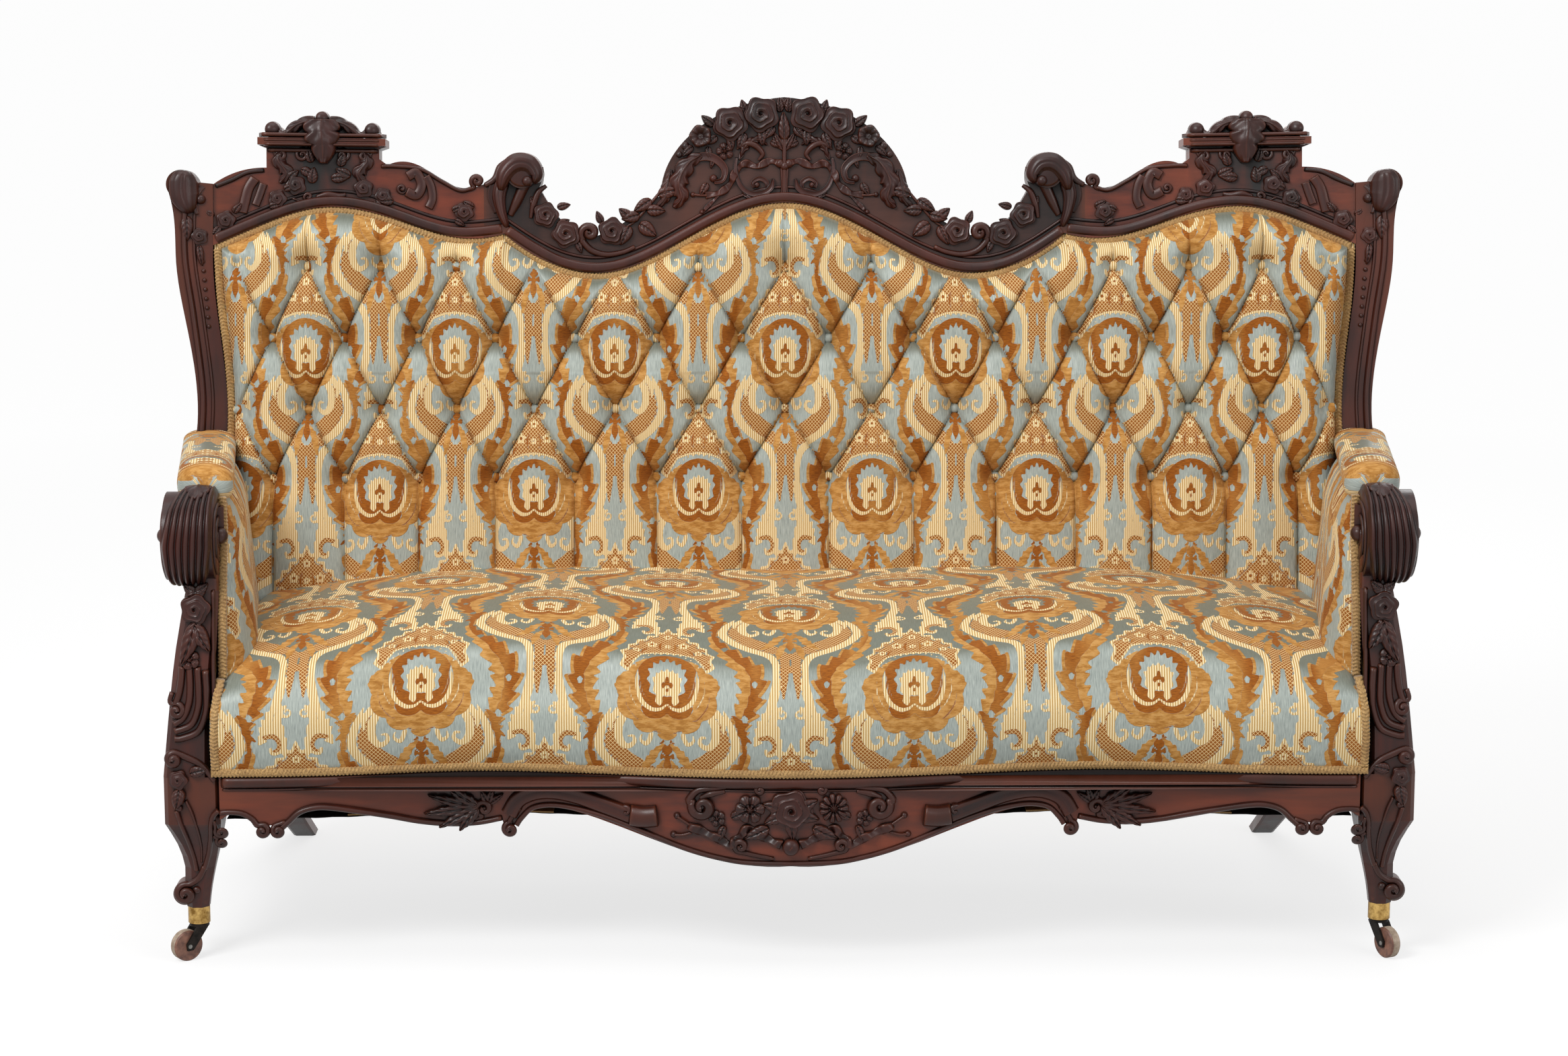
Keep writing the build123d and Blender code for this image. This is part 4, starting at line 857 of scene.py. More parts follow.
def arm_edge(z):
    """Front edge of the inside arm's cloth, along the post and beside the scroll."""
    return np.interp(z, (0.40, 0.50, 0.56, 0.60, 0.66), (-0.348, -0.338, -0.322, -0.306, -0.296))


def build_inside_arm(side, name):
    """Stuffed inside of the arm, from the pad down to the seat, full in the middle and tight at its front edge."""
    y1, z0, z1 = 0.100, 0.400, 0.655
    u, t = unit_grid(int((z1 - z0 + 0.02) / FINE), int(0.44 / FINE))
    z = z0 + (z1 - z0) * t
    y0 = arm_edge(z)
    y = y0 + (y1 - y0) * u
    belly, crown = tight((y - y0 - 0.006) / 0.11), tight((z1 - z) / 0.07)
    lean = 0.022 * (1 - t) * np.clip((y + 0.36) / 0.10, 0, 1)
    edge_x = np.maximum(arm_x(y) - 0.012, 0.7955)
    front = stacked(side * (edge_x - 0.002 - 0.034 * belly * crown - lean * crown), y, z)
    flat = np.stack([(y - y0) - 0.135, (z - z0) - 0.250], -1)
    ends = front[[0, -1]]
    ends[:, :, 0] = side * (edge_x[0] + 0.001)
    closed_pad(f"inside_arm_upholstery_{name}", front, flat, ends, f"inside_arm_pad_{name}", side > 0)


def build_outside_back():
    """Cloth stretched over the rear of the back frame, between the rails."""
    s, t = unit_grid(int(0.74 / 0.0045), int(1.78 / 0.0045), -1)
    half = 0.871
    x = s * half
    low = (RAIL_TOP - BACK_Z + (bow(x) + FRAME_T) * math.sin(RAKE)) / math.cos(RAKE) + 0.001
    high = crest_low(x) + 0.020
    v = low + t * (high - low)
    edge = np.minimum(np.minimum(high - v, v - low), half - np.abs(x))
    front = on_back(x, v, -(FRAME_T + 0.0016 + 0.0035 * np.clip(edge / 0.03, 0, 1)))
    ends = on_back(x[[0, -1]], v[[0, -1]], -(FRAME_T + 0.0006))
    closed_pad("outside_back_cloth", front, np.stack([x, v - 0.371], -1), ends, "outside_back", True)


def build_outside_arm(side, name):
    """Cloth stretched over the outside of the arm, below its rail and behind its scroll."""
    y0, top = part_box(f"outside_arm_{name}")[0].y, 0.6115
    u, t = unit_grid(int(0.34 / 0.004), int(0.40 / 0.004))
    z = RAIL_TOP + 0.001 + (top - RAIL_TOP - 0.002) * t
    reach = np.sqrt(np.maximum((SCROLL_R + 0.001) ** 2 - (z - SCROLL_Z) ** 2, 0))
    front_y = np.maximum(np.where(np.abs(z - SCROLL_Z) < SCROLL_R + 0.001, SCROLL_Y + reach, y0), y0)
    y1 = stile_front(z) + 0.003
    y = front_y + (y1 - front_y) * u
    face_x = arm_x(y - 0.025) + 0.016
    edge = np.minimum(np.minimum(z - RAIL_TOP, top - z), np.minimum(y - front_y, y1 - y))
    front = stacked(side * (face_x + 0.003 + 0.004 * np.clip(edge / 0.025, 0, 1)), y, z)
    ends = front[[0, -1]]
    ends[:, :, 0] = side * (face_x[0] + 0.0003)
    flat = np.stack([y + 0.10, z - 0.45], -1)
    closed_pad(f"outside_arm_cloth_{name}", front, flat, ends, f"outside_arm_{name}", side < 0)


# Dust cover: thin black cloth tacked under the rails, which sags a little between them
DUST_LEG = (0.794, -0.301)  # corner beside each front leg
DUST_SIDES = (0.829, 0.8554)  # half-widths at the front and rear ends of the side rails
DUST_REAR, DUST_BOW = 0.1081, 0.128
DUST_TOP, DUST_THICK, DUST_SAG = 0.2017, 0.0009, 0.010
DUST_PUCKER, DUST_TACKS = 0.0008, 0.046  # depth and spacing of the folds between the tacks
DUST_FRONT_ROWS, DUST_REAR_ROWS, DUST_COLS, DUST_STRIP = 6, 28, 141, 4


def build_dust_cover():
    """A sheet with a lower face, between the apron, the side rails and the rear rail."""
    leg_x, leg_y = DUST_LEG
    strip = np.linspace(0, 1, DUST_STRIP + 1)[1:]
    reach = np.concatenate([-strip[::-1], np.zeros(DUST_COLS), strip])
    base = np.pad(np.linspace(-leg_x, leg_x, DUST_COLS), DUST_STRIP, mode="edge")
    before, behind = np.linspace(-1, 0, DUST_FRONT_ROWS + 1)[:-1], np.linspace(0, 1, DUST_REAR_ROWS + 1)
    share = np.concatenate([before, behind])[:, None]
    half = DUST_SIDES[0] + (DUST_SIDES[1] - DUST_SIDES[0]) * np.maximum(share, 0)
    x = base + reach * (half - leg_x)
    front = apron_front(base) + 0.048
    rear = DUST_REAR + DUST_BOW * (1 - (x / DUST_SIDES[1]) ** 2)
    y = leg_y + np.where(share > 0, share * (rear - leg_y), -share * (front - leg_y))
    q = np.clip((y - front) / (rear - front), 0, 1)
    near = np.minimum(y - front, rear - y)
    z = DUST_TOP - DUST_SAG * 4 * q * (1 - q) * (1 - (x / DUST_SIDES[1]) ** 4)
    z -= DUST_PUCKER * (0.5 - 0.5 * np.cos(ROUND * x / DUST_TACKS)) * np.exp(-near / 0.022)
    # Beside the front legs there is no cloth
    rows, cols = x.shape
    kept = np.array(grid_faces(rows, cols))
    row, col = np.divmod(kept.min(1), cols)
    kept = kept[(row >= DUST_FRONT_ROWS) | ((col >= DUST_STRIP) & (col < cols - DUST_STRIP - 1))]
    used, upper = np.unique(kept, return_inverse=True)
    upper = upper.reshape(-1, 4)
    points = stacked(x, y, z).reshape(-1, 3)[used]
    edges = {(int(quad[k]), int(quad[(k + 1) % 4])) for quad in upper for k in range(4)}
    count = len(used)
    rim = [(b, a, a + count, b + count) for a, b in sorted(edges) if (b, a) not in edges]
    faces = [*upper, *(upper[:, ::-1] + count), *rim]
    obj = make_object("dust_cover_cloth", np.concatenate([points, points - [0, 0, DUST_THICK]]), faces, BLACK_CLOTH)
    obj.data.polygons.foreach_set("use_smooth", [True] * (2 * len(upper)) + [False] * len(rim))
    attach(obj, "frame")
    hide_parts("dust_cover")


build_back()
build_outside_back()
build_buttons()
build_seat()
for arm_side, arm_name in SIDES:
    build_arm_pads(arm_side, arm_name)
    build_inside_arm(arm_side, arm_name)
    build_outside_arm(arm_side, arm_name)
build_dust_cover()


# Carving tools: every ornament is a closed relief, drawn in millimetres and laid on a surface
SUNK = -2.0  # depth of each relief's border, inside the wood


class Place:
    """Lays local points (across, up, proud) on a surface, turned, and mirrored for the left side."""

    def __init__(self, heap, surface, x, y, turn=0.0, side=1, lift=0.0):
        self.heap, self.surface, self.x, self.y, self.side, self.lift = heap, surface, x, y, side, lift
        self.c, self.s = math.cos(math.radians(turn)), math.sin(math.radians(turn))

    def __call__(self, pts):
        a, b, h = pts[..., 0], pts[..., 1], pts[..., 2]
        x = self.x + a * self.c - b * self.s
        y = self.y + a * self.s + b * self.c
        h = np.where(h > SUNK + 0.5, h + self.lift, h)
        return self.surface(self.side * x / 1000, y / 1000, h / 1000)


def placer(heap, surface, side=1):
    """A short way to lay ornaments on one side of a surface."""
    def at(x=0, y=0, turn=0.0, lift=0.0):
        return Place(heap, surface, x, y, turn, side, lift)
    return at


def relief(place, pts, wrap=False):
    """Adds a height field, closed underneath."""
    rows, cols = pts.shape[:2]
    faces = grid_faces(rows, cols, 0, wrap)
    if not wrap:
        loop = list(range(cols)) + [r * cols + cols - 1 for r in range(1, rows)]
        loop += [(rows - 1) * cols + c for c in range(cols - 2, -1, -1)] + [r * cols for r in range(rows - 2, 0, -1)]
        faces.append(tuple(loop[::-1]))
    place.heap.add(place(pts), faces)


def patch(place, a, b, h):
    """A relief from grids of (across, up, proud), sunk all round."""
    pts = stacked(a, b, h)
    for border in (pts[0], pts[-1], pts[:, 0], pts[:, -1]):
        border[:, 2] = SUNK
    relief(place, pts)


def polar(rings, cols, low):
    """Shares out from the middle, and angles round it."""
    return np.linspace(low, 1, rings)[:, None], np.linspace(0, ROUND, cols, endpoint=False)[None, :]


def disc(place, r, th, h, middle=(0, 0), wall=True):
    """A round relief from its radii, angles and heights; a wall goes down from its last ring, or that ring is sunk."""
    pts = stacked(middle[0] + r * np.cos(th), middle[1] + r * np.sin(th), h)
    if wall:
        pts = np.concatenate([pts, pts[-1:]])
    pts[-1, :, 2] = SUNK
    relief(place, pts, True)


def rose(place, radius, turns=3.3, tall=0.55, rings=30, cols=54):
    """A full rose: petals wind out from the heart, each with a raised lip."""
    t, th = polar(rings, cols, 0.03)
    start = random.uniform(0, 6.28)
    r = t * radius * (1 + t * 0.09 * np.cos(5 * th + start))
    step = t**0.85 * turns - th / ROUND + 0.06 * np.sin(3 * th + start)
    lip = (step - np.floor(step)) ** 2.0
    h = radius * (tall * (1 - 0.80 * t**2) + 0.21 * lip * (0.5 + 0.5 * t) - 0.22 * np.exp(-(t / 0.10) ** 2))
    disc(place, r, th, h)


def small_rose(place, radius, tall=0.6):
    """A rose with fewer petals."""
    rose(place, radius, 2.6, tall, 22, 40)


def blossom(place, radius, petals, tall=0.45):
    """An open flower with a boss at its heart."""
    t, th = polar(14, petals * 12, 0.03)
    petal = np.abs(np.cos(petals * th / 2))
    r = t * radius * (0.70 + 0.30 * petal**0.5)
    away = np.abs(((petals * th / ROUND + 0.5) % 1) - 0.5)
    h = tall * (0.22 + 0.62 * np.sin(np.pi * np.minimum(t * 0.9, 1)) * petal**0.6 - 0.16 * np.exp(-(away / 0.07) ** 2))
    h = radius * (h + 0.38 * np.exp(-(t / 0.20) ** 2) - 0.12 * np.exp(-((t - 0.33) / 0.09) ** 2))
    disc(place, r, th, h)


def trumpet(place, radius, tall=0.8):
    """A fluted trumpet flower, deep in the middle."""
    t, th = polar(14, 60, 0.04)
    r = t * radius * (1 + 0.05 * np.cos(5 * th))
    h = radius * tall * (0.25 + 0.75 * np.sin(np.minimum(t, 0.86) / 0.86 * np.pi / 2) - 1.6 * np.maximum(t - 0.86, 0))
    h = h + radius * 0.05 * t * np.cos(10 * th) + radius * 0.25 * np.exp(-(t / 0.12) ** 2)
    disc(place, r, th, h)


def bud(place, radius, tall=0.9, cols=20):
    """A half-round boss."""
    t, th = polar(9, cols, 0.05)
    disc(place, radius * t, th, radius * tall * np.sqrt(np.maximum(1 - t**2, 0)), wall=False)


def strip_grid(rows, cols):
    """Shares along, from 0 to 1, and across, from -1 to 1."""
    return np.linspace(0, 1, rows)[:, None], np.linspace(-1, 1, cols)[None, :]


def spread(values, t):
    """Values spaced evenly along, read at the shares t."""
    return np.interp(t, np.linspace(0, 1, len(values)), values)


def leaf(place, length, width, tall=5.0, bend=0.0, lobes=0, rows=20, cols=15):
    """A leaf along +across, hollowed at its rib, with side veins."""
    t, s = strip_grid(rows, cols)
    w = width / 2 * np.sin(np.pi * t**0.72) ** 0.75
    if lobes:
        w = w * (0.76 + 0.24 * np.abs(np.sin(np.pi * lobes * t)))
    h = tall * (0.35 + 0.75 * np.sqrt(np.maximum(1 - np.abs(s) ** 2.2, 0))) * (0.55 + 0.45 * np.sin(np.pi * t))
    h = h - 0.45 * tall * np.exp(-(s / 0.13) ** 2) + 0.09 * tall * np.cos(ROUND * (5 * t - 1.3 * np.abs(s)))
    patch(place, length * t, w * s + bend * t**2, h)


def sweep(place, line, across, h):
    """A relief along a line, from its offsets across the line and its heights."""
    side = normals_2d(line)
    patch(place, line[:, :1] + side[:, :1] * across, line[:, 1:] + side[:, 1:] * across, h)


def plume(place, path, widths, tall, lobes=5, rows=70, cols=19):
    """An acanthus leaf along a curved rib, its edge in lobes and its face fluted towards them."""
    t, s = strip_grid(rows, cols)
    w = spread(widths, t) / 2 * (0.74 + 0.26 * np.abs(np.sin(np.pi * lobes * t)) ** 0.7)
    flute = np.abs(s) * np.cos(ROUND * (lobes * t - 1.1 * np.abs(s)) + np.pi)
    h = tall * (0.30 + 0.70 * (1 - np.abs(s) ** 2.4)) + 0.20 * tall * flute
    h = h * (0.5 + 0.5 * np.sin(np.pi * np.clip(t, 0.08, 0.92))) + 0.22 * tall * np.exp(-(s / 0.10) ** 2)
    sweep(place, smooth_path(path, rows), w * s, h)


def ribbon(place, path, width, folds, tall=6.0, rows=90, cols=9):
    """A fluttering ribbon with soft folds across it."""
    t, s = strip_grid(rows, cols)
    w = width / 2 * (0.82 + 0.18 * np.cos(ROUND * folds * t))
    h = 2.2 + tall * (0.5 + 0.5 * np.sin(ROUND * folds * t + 0.8 * s)) + 0.4 * np.cos(3 * ROUND * folds * t)
    sweep(place, smooth_path(path, rows), w * s, h)


def strap(place, path, widths, tall, dish=0.35, rows=70, cols=13):
    """A broad band along a curve, hollowed between its two raised edges and rising to its end."""
    t, s = strip_grid(rows, cols)
    h = tall * (0.35 + 0.65 * t) * (1 - dish * (1 - np.abs(s) ** 1.6))
    sweep(place, smooth_path(path, rows), spread(widths, t) / 2 * s, h)


def roll(place, path, widths, tall, cuts=2, rows=60, cols=19):
    """A swelling rounded form along a curve, with shallow cuts along it."""
    t, s = strip_grid(rows, cols)
    w = spread(widths, t) / 2 * np.maximum(1 - (2 * t - 1) ** 8, 0) ** 0.5 + 0.3
    ends = np.maximum(1 - (2 * t - 1) ** 6, 0) ** 0.5
    h = tall * ends * np.sqrt(np.maximum(1 - np.abs(s) ** 2.2, 0))
    h = h - 0.10 * tall * ends * np.exp(-((np.cos(np.pi * (cuts + 1) * (s + 1) / 2)) / 0.25) ** 2)
    sweep(place, smooth_path(path, rows), w * s, h)


def moulding(place, line, profile):
    """A strip along a line: the profile gives (sideways, proud) points."""
    across, h = np.array([profile[0], *profile, profile[-1]], float).T
    sweep(place, np.asarray(line, float), across[None, :], h[None, :])


def round_profile(width, high):
    """A half-round section for a moulding."""
    return [(-width / 2 * math.cos(a), high * math.sin(a)) for a in np.linspace(0, math.pi, 7)]


def bead(place, path, n, width, high):
    """A half-round moulding along a smooth curve."""
    moulding(place, smooth_path(path, n), round_profile(width, high))


def tube(place, path, radii, rows=60, cols=12):
    """A rounded scroll along points (across, up, proud)."""
    line = smooth_path(path, rows)
    flat = normals_2d(line[:, :2])
    r = spread(radii, np.linspace(0, 1, rows))[:, None]
    a = np.linspace(0, ROUND, cols, endpoint=False)[None, :]
    h = np.maximum(line[:, 2:] + r * np.sin(a), SUNK + 0.6)
    across, up = (line[:, k:k + 1] + flat[:, k:k + 1] * r * np.cos(a) for k in range(2))
    relief(place, stacked(across, up, h), True)


def volute(place, lead, cx, cy, radius, start, turns, thick, thin, high):
    """A scroll: a lead-in line, then a winding that rises to its round eye."""
    t = np.linspace(0, 1, 22)
    a = math.radians(start) + ROUND * turns * t
    r = radius * (1 - 0.84 * t)
    wind = np.column_stack([cx + r * np.cos(a), cy + r * np.sin(a), high * t])
    path = np.vstack([[(x, y, 0.0) for x, y in lead], wind]) + (0, 0, 1.0)
    tube(place, path, (thin, thick, thick, thin * 1.2, thin), 30 + 26 * int(math.ceil(abs(turns) + len(lead) / 4)))
    t, th = polar(8, 16, 0.04)
    eye = max(radius * 0.26, thin)
    disc(place, eye * t, th, high * 0.6 + eye * 1.1 * np.sqrt(np.maximum(1 - t**2, 0)), (cx, cy), wall=False)


post_face = spline_fit([(0.080, -0.3555), (0.104, -0.358), (0.135, -0.356), (0.170, -0.364), (0.204, -0.380),
                        (0.272, -0.380), (0.330, -0.378), (0.390, -0.371), (0.450, -0.360), (0.530, -0.348),
                        (0.560, -0.345)])


def on_post(x, z, h):
    """In front of the arm post and the front leg."""
    return stacked(x, post_face(z) - h, z)


def arc_line(f, x0, x1, n, lift=0.0):
    """Points of a height curve in millimetres, from x0 to x1."""
    x = np.linspace(x0, x1, n)
    return np.column_stack([x, f(x / 1000) * 1000 + lift])


CREST_EDGE = [(-8, 7), (-7, 9.2), (-4, 11), (0, 11.6), (4, 11), (7, 9.2), (8, 6)]


def crest_mouldings(place, x0, x1, n, high):
    """The rounded edge over the cloth, and a bead above it."""
    moulding(place, arc_line(crest_low, x0, x1, n, 24.0), round_profile(5.5, high))
    moulding(place, arc_line(crest_low, x0, x1, n, 8.0), CREST_EDGE)


def carve_crest_center(heap):
    """Roses, ribbon, scrolls and leaves of the middle crest."""
    middle = placer(heap, on_back)
    crest_mouldings(middle(), -431, 431, 220, 3.2)
    for side, _ in SIDES:
        at = placer(heap, on_back, side)
        rose(at(84, 703, lift=4), 26)
        rose(at(36, 717, lift=5), 26.5)
        for x, v, turn, long in ((58, 718, 62, 24), (6, 720, 80, 24), (108, 700, 30, 26), (16, 700, -60, 26),
                                 (62, 690, -75, 28), (104, 684, -40, 24), (86, 684, -110, 24), (36, 694, -100, 26)):
            leaf(at(x, v, turn, 2), long, long * 0.62, 6, 3)
        trumpet(at(130, 683, lift=3), 17)
        blossom(at(92, 660, lift=2), 14, 5)
        for x, v, turn, long in ((141, 668, -35, 24), (118, 668, -90, 22), (108, 650, -60, 18)):
            leaf(at(x, v, turn, 1), long, long * 0.55, 5, -3)
        bud(at(153, 668), 7)
        bud(at(163, 655), 5.5)
        # Acanthus down the shoulder
        plume(at(), [(128, 655), (150, 640), (164, 612), (160, 588), (172, 572)], (12, 30, 34, 24, 8), 12, 5)
        plume(at(), [(176, 632), (182, 606), (186, 586), (200, 572)], (8, 20, 18, 6), 9, 4)
        # C-scrolls
        strap(at(), [(152, 622), (142, 644), (126, 652), (107, 648), (93, 633), (96, 616), (110, 612)],
              (8, 13, 15, 14, 12, 9, 7), 12, 0.35)
        bud(at(110, 618, 0, 3), 6.5, 1.1)
        leaf(at(120, 612, -70, 1), 24, 14, 6, 4)
        strap(at(), [(74, 652), (76, 632), (71, 612), (62, 600), (48, 594), (32, 596), (21, 604), (17, 618)],
              (5, 7, 8, 9, 10, 11, 11, 5), 10, 0.35)
        strap(at(), [(28, 598), (27, 611), (38, 618), (49, 612), (47, 603)], (7, 8, 8, 6, 4), 11, 0.3, 44)
        bud(at(43, 608, 0, 3), 5, 1.1)
        plume(at(), [(26, 594), (36, 586), (54, 588), (66, 598)], (4, 11, 12, 4), 7, 4)
        tube(at(), [(74, 664, 2), (58, 672, 5), (44, 668, 6), (34, 656, 5), (40, 646, 4)], (2, 5, 5, 4, 2))
        plume(at(), [(70, 646), (60, 668), (42, 678), (26, 670)], (4, 15, 15, 4), 8, 5)
        leaf(at(22, 676, -150), 24, 13, 6, -4)
        leaf(at(6, 664, 55), 26, 11, 5, 3)
        # Ribbon from the knot
        ribbon(at(), [(4, 640), (22, 645), (42, 637), (62, 641), (76, 628), (84, 610), (100, 596), (124, 592)], 15, 5.0)
        ribbon(at(), [(96, 600), (108, 586), (120, 574), (126, 566)], 9, 1.6, 4)
        tube(at(), [(120, 592, 3), (132, 592, 4), (140, 593, 4)], (2, 2, 2), 16, 8)
        bud(at(142, 593), 4.6, 1.3)
        bud(at(128, 566), 4.2, 1.3)
        # Leaves and roses along the dip
        for x, v, turn, long, wide in ((196, 592, 160, 34, 22), (206, 586, -40, 34, 20), (214, 568, 175, 30, 20),
                                       (224, 562, -20, 30, 20), (226, 548, -150, 34, 24), (240, 545, -70, 34, 20),
                                       (236, 556, 30, 26, 18)):
            leaf(at(x, v, turn, 3), long, wide, 7, 3)
        tube(at(), [(190, 600, 2), (212, 574, 3), (232, 552, 3), (250, 540, 2)], (2.4, 2.6, 2.4, 2), 24, 8)
        rose(at(267, 536, lift=3), 21)
        rose(at(338, 532, lift=3), 21)
        rose(at(369, 561, lift=3), 19)
        for x, v, turn, long in ((282, 548, 60, 22), (352, 545, 150, 22), (384, 572, 60, 20), (352, 572, 160, 22),
                                 (322, 520, -120, 20)):
            leaf(at(x, v, turn, 1), long, long * 0.6, 5, 2)
        volute(at(), [(232, 512), (250, 504), (276, 500), (298, 506), (312, 520)], 302, 533, 13, -35, 1.2, 7, 4, 10)
        # Long scroll that ends in the volute beside the dip
        tube(at(), [(424, 560, 1), (414, 580, 3), (402, 606, 5), (388, 628, 6), (372, 630, 6)], (5, 8, 9, 8, 5), 50)
        tube(at(), [(392, 556, 1), (388, 576, 3), (380, 596, 4), (368, 606, 4)], (3, 5, 5, 3), 40)
    # Stem and knot
    tube(middle(), [(0, 586, 2), (0, 620, 4), (0, 655, 5), (1, 690, 6)], (4.5, 3.5, 3.4, 3), 40)
    for turn, long in ((62, 34), (118, 34), (90, 40)):
        leaf(middle(0, 660, turn, 2), long, 12, 6)
    for x in (-5, 5):
        tube(middle(), [(x, 588, 1), (x * 0.6, 606, 3), (x * 0.9, 634, 4)], (3, 2.6, 2.2), 30)
    for x, v in ((-7, 641), (7, 641), (0, 637)):
        bud(middle(x, v, 0, 3), 7.5, 1.0)
    leaf(middle(0, 676, 90, 5), 46, 20, 7, 2)
    for turn in (-60, -20, 20, 60):
        leaf(middle(0, 728, 90 + turn, 1), 15, 12, 6)


def carve_crest_side(heap, side):
    """Cornice, crown, strapwork and flowers of a side crest."""
    at = placer(heap, on_back, side)
    here = at()
    crest_mouldings(here, 433, 867, 120, 3.0)
    # Acanthus over the cornice
    plume(at(lift=16), [(706, 704), (706, 684), (704, 664), (704, 636)], (54, 66, 50, 14), 12, 3)
    for a in (-1, 1):
        plume(at(lift=10), [(706 + 10 * a, 702), (706 + 34 * a, 696), (706 + 52 * a, 682), (706 + 58 * a, 676)],
              (20, 20, 14, 4), 9, 3)
        volute(at(), [(706 + 14 * a, 668), (706 + 22 * a, 660)], 706 + 30 * a, 650, 10, 90, -1.3 * a, 3.2, 1.8, 6)
        plume(at(), [(706 + 58 * a, 660), (706 + 66 * a, 642), (706 + 54 * a, 622), (706 + 64 * a, 606)],
              (6, 22, 24, 6), 9, 4)
        volute(at(), [(706 + 74 * a, 656), (706 + 70 * a, 648)], 706 + 62 * a, 648, 8, 0 if a > 0 else 180, 1.2 * a,
               3.5, 2, 6)
    bud(at(706, 706, 0, 8), 11, 0.8)
    for v, reach, thick, high in ((679.5, 95, 6, 22.5), (671.5, 93, 5, 20), (665, 91, 5, 21), (657, 84, 7, 8)):
        moulding(here, [(x, v) for x in np.linspace(706 - reach, 706 + reach, 24)],
                 [(-thick / 2, high - 3.5), (-thick / 3, high - 1), (0, high), (thick / 3, high - 1),
                  (thick / 2, high - 3.5)])
    for a in (-1, 1):
        bud(at(706 + 74 * a, 688, 0, 4), 12.5, 0.9, 28)
        tube(here, [(706 + 30 * a, 694, 5), (706 + 46 * a, 686, 8), (706 + 58 * a, 681, 8), (706 + 66 * a, 688, 6)],
             (4, 6, 5, 3), 30)
    for x, v, turn, long in ((739, 628, 200, 24), (722, 638, 70, 24), (722, 606, 90, 26), (680, 632, 100, 24),
                             (694, 614, 170, 26), (664, 618, 20, 26), (758, 612, 130, 22), (764, 596, 150, 20),
                             (786, 570, 160, 20), (634, 606, -20, 22), (600, 582, -10, 24), (628, 582, -120, 20),
                             (512, 566, 150, 20), (478, 572, 20, 20), (508, 552, 200, 18), (838, 560, 120, 20),
                             (858, 540, -60, 20), (866, 556, 20, 16)):
        leaf(at(x, v, turn, 3), long, long * 0.66, 6, 3)
    for x, v, r in ((746, 604, 14.5), (773, 583, 13), (645, 600, 14), (616, 589, 12), (493, 565, 14), (849, 549, 14)):
        small_rose(at(x, v, 0, 3), r)
    tube(here, [(716, 586, 2), (700, 590, 4), (684, 588, 3), (672, 590, 2)], (3, 5, 5, 3), 30)
    volute(here, [(752, 584), (738, 578)], 728, 586, 7, -90, 1.2, 3, 1.8, 5)
    # Strapwork
    for pts, w in (([(580, 618), (566, 624), (558, 606), (566, 590), (582, 596)], 15),
                   ([(552, 620), (544, 604), (542, 584), (548, 570)], 13),
                   ([(806, 614), (816, 598), (822, 576), (826, 560)], 15), ([(794, 606), (800, 588), (806, 572)], 12)):
        line = smooth_path(pts, 40)
        moulding(here, line, [(-w / 2, 4), (-w / 2 + 1.5, 7), (0, 5.5), (w / 2 - 1.5, 7), (w / 2, 4)])
    volute(here, [(582, 596)], 588, 600, 7, -120, 1.2, 3, 2, 5)
    # Top edge bead and small curl
    bead(here, [(620, 634), (596, 634), (560, 630), (528, 612), (500, 598), (480, 602)], 60, 7, 6)
    volute(here, [(500, 598), (484, 600)], 474, 612, 9, -60, 1.3, 5, 3, 7)
    bead(here, [(792, 626), (818, 622), (842, 610), (866, 600)], 30, 7, 5)
    # Scroll up to the volute
    bud(at(405, 625, 0, 18.2), 24, 0.22, 36)
    roll(at(lift=4), [(428, 540), (437, 566), (440, 592), (433, 616)], (10, 16, 22, 24), 14)
    roll(at(lift=13), [(438, 596), (431, 622), (414, 639), (394, 638), (383, 622), (388, 608)],
         (16, 28, 34, 32, 24, 12), 17)
    bud(at(396, 612, 0, 20), 9, 1.0, 24)
    strap(here, [(446, 562), (454, 590), (446, 616), (434, 634)], (4, 9, 10, 4), 7, 0.1, 40)
    tube(here, [(462, 606, 1), (446, 616, 3), (438, 634, 3), (424, 648, 2)], (4, 6, 6, 3), 30)


def carve_stile(heap, side):
    """Beads, scrolled ear and rose of a back stile."""
    at = placer(heap, on_back, side)
    edge = [(886, 215), (884, 290), (896, 398), (908, 485), (909, 545), (906, 580)]
    bead(at(lift=8), edge, 90, 9, 6)
    bead(at(lift=8), [(x - 14, v) for x, v in edge], 90, 5, 3)
    roll(at(lift=9), [(906, 624), (909, 606), (908, 584), (900, 558)], (28, 46, 46, 22), 17)
    bud(at(885, 580, 0, 8), 8, 1.1)
    strap(at(lift=8), [(880, 600), (888, 592), (894, 576), (890, 556)], (5, 8, 8, 4), 8, 0.2, 40)
    small_rose(at(887, 524, 0, 9), 12)
    leaf(at(906, 556, -95, 8), 40, 20, 7, 3)
    leaf(at(888, 512, -95, 8), 34, 12, 6, -2)
    for i in range(9):
        bud(at(884 - i * 1.2, 500 - i * 14, 0, 8), 3.6, 1.1, 12)


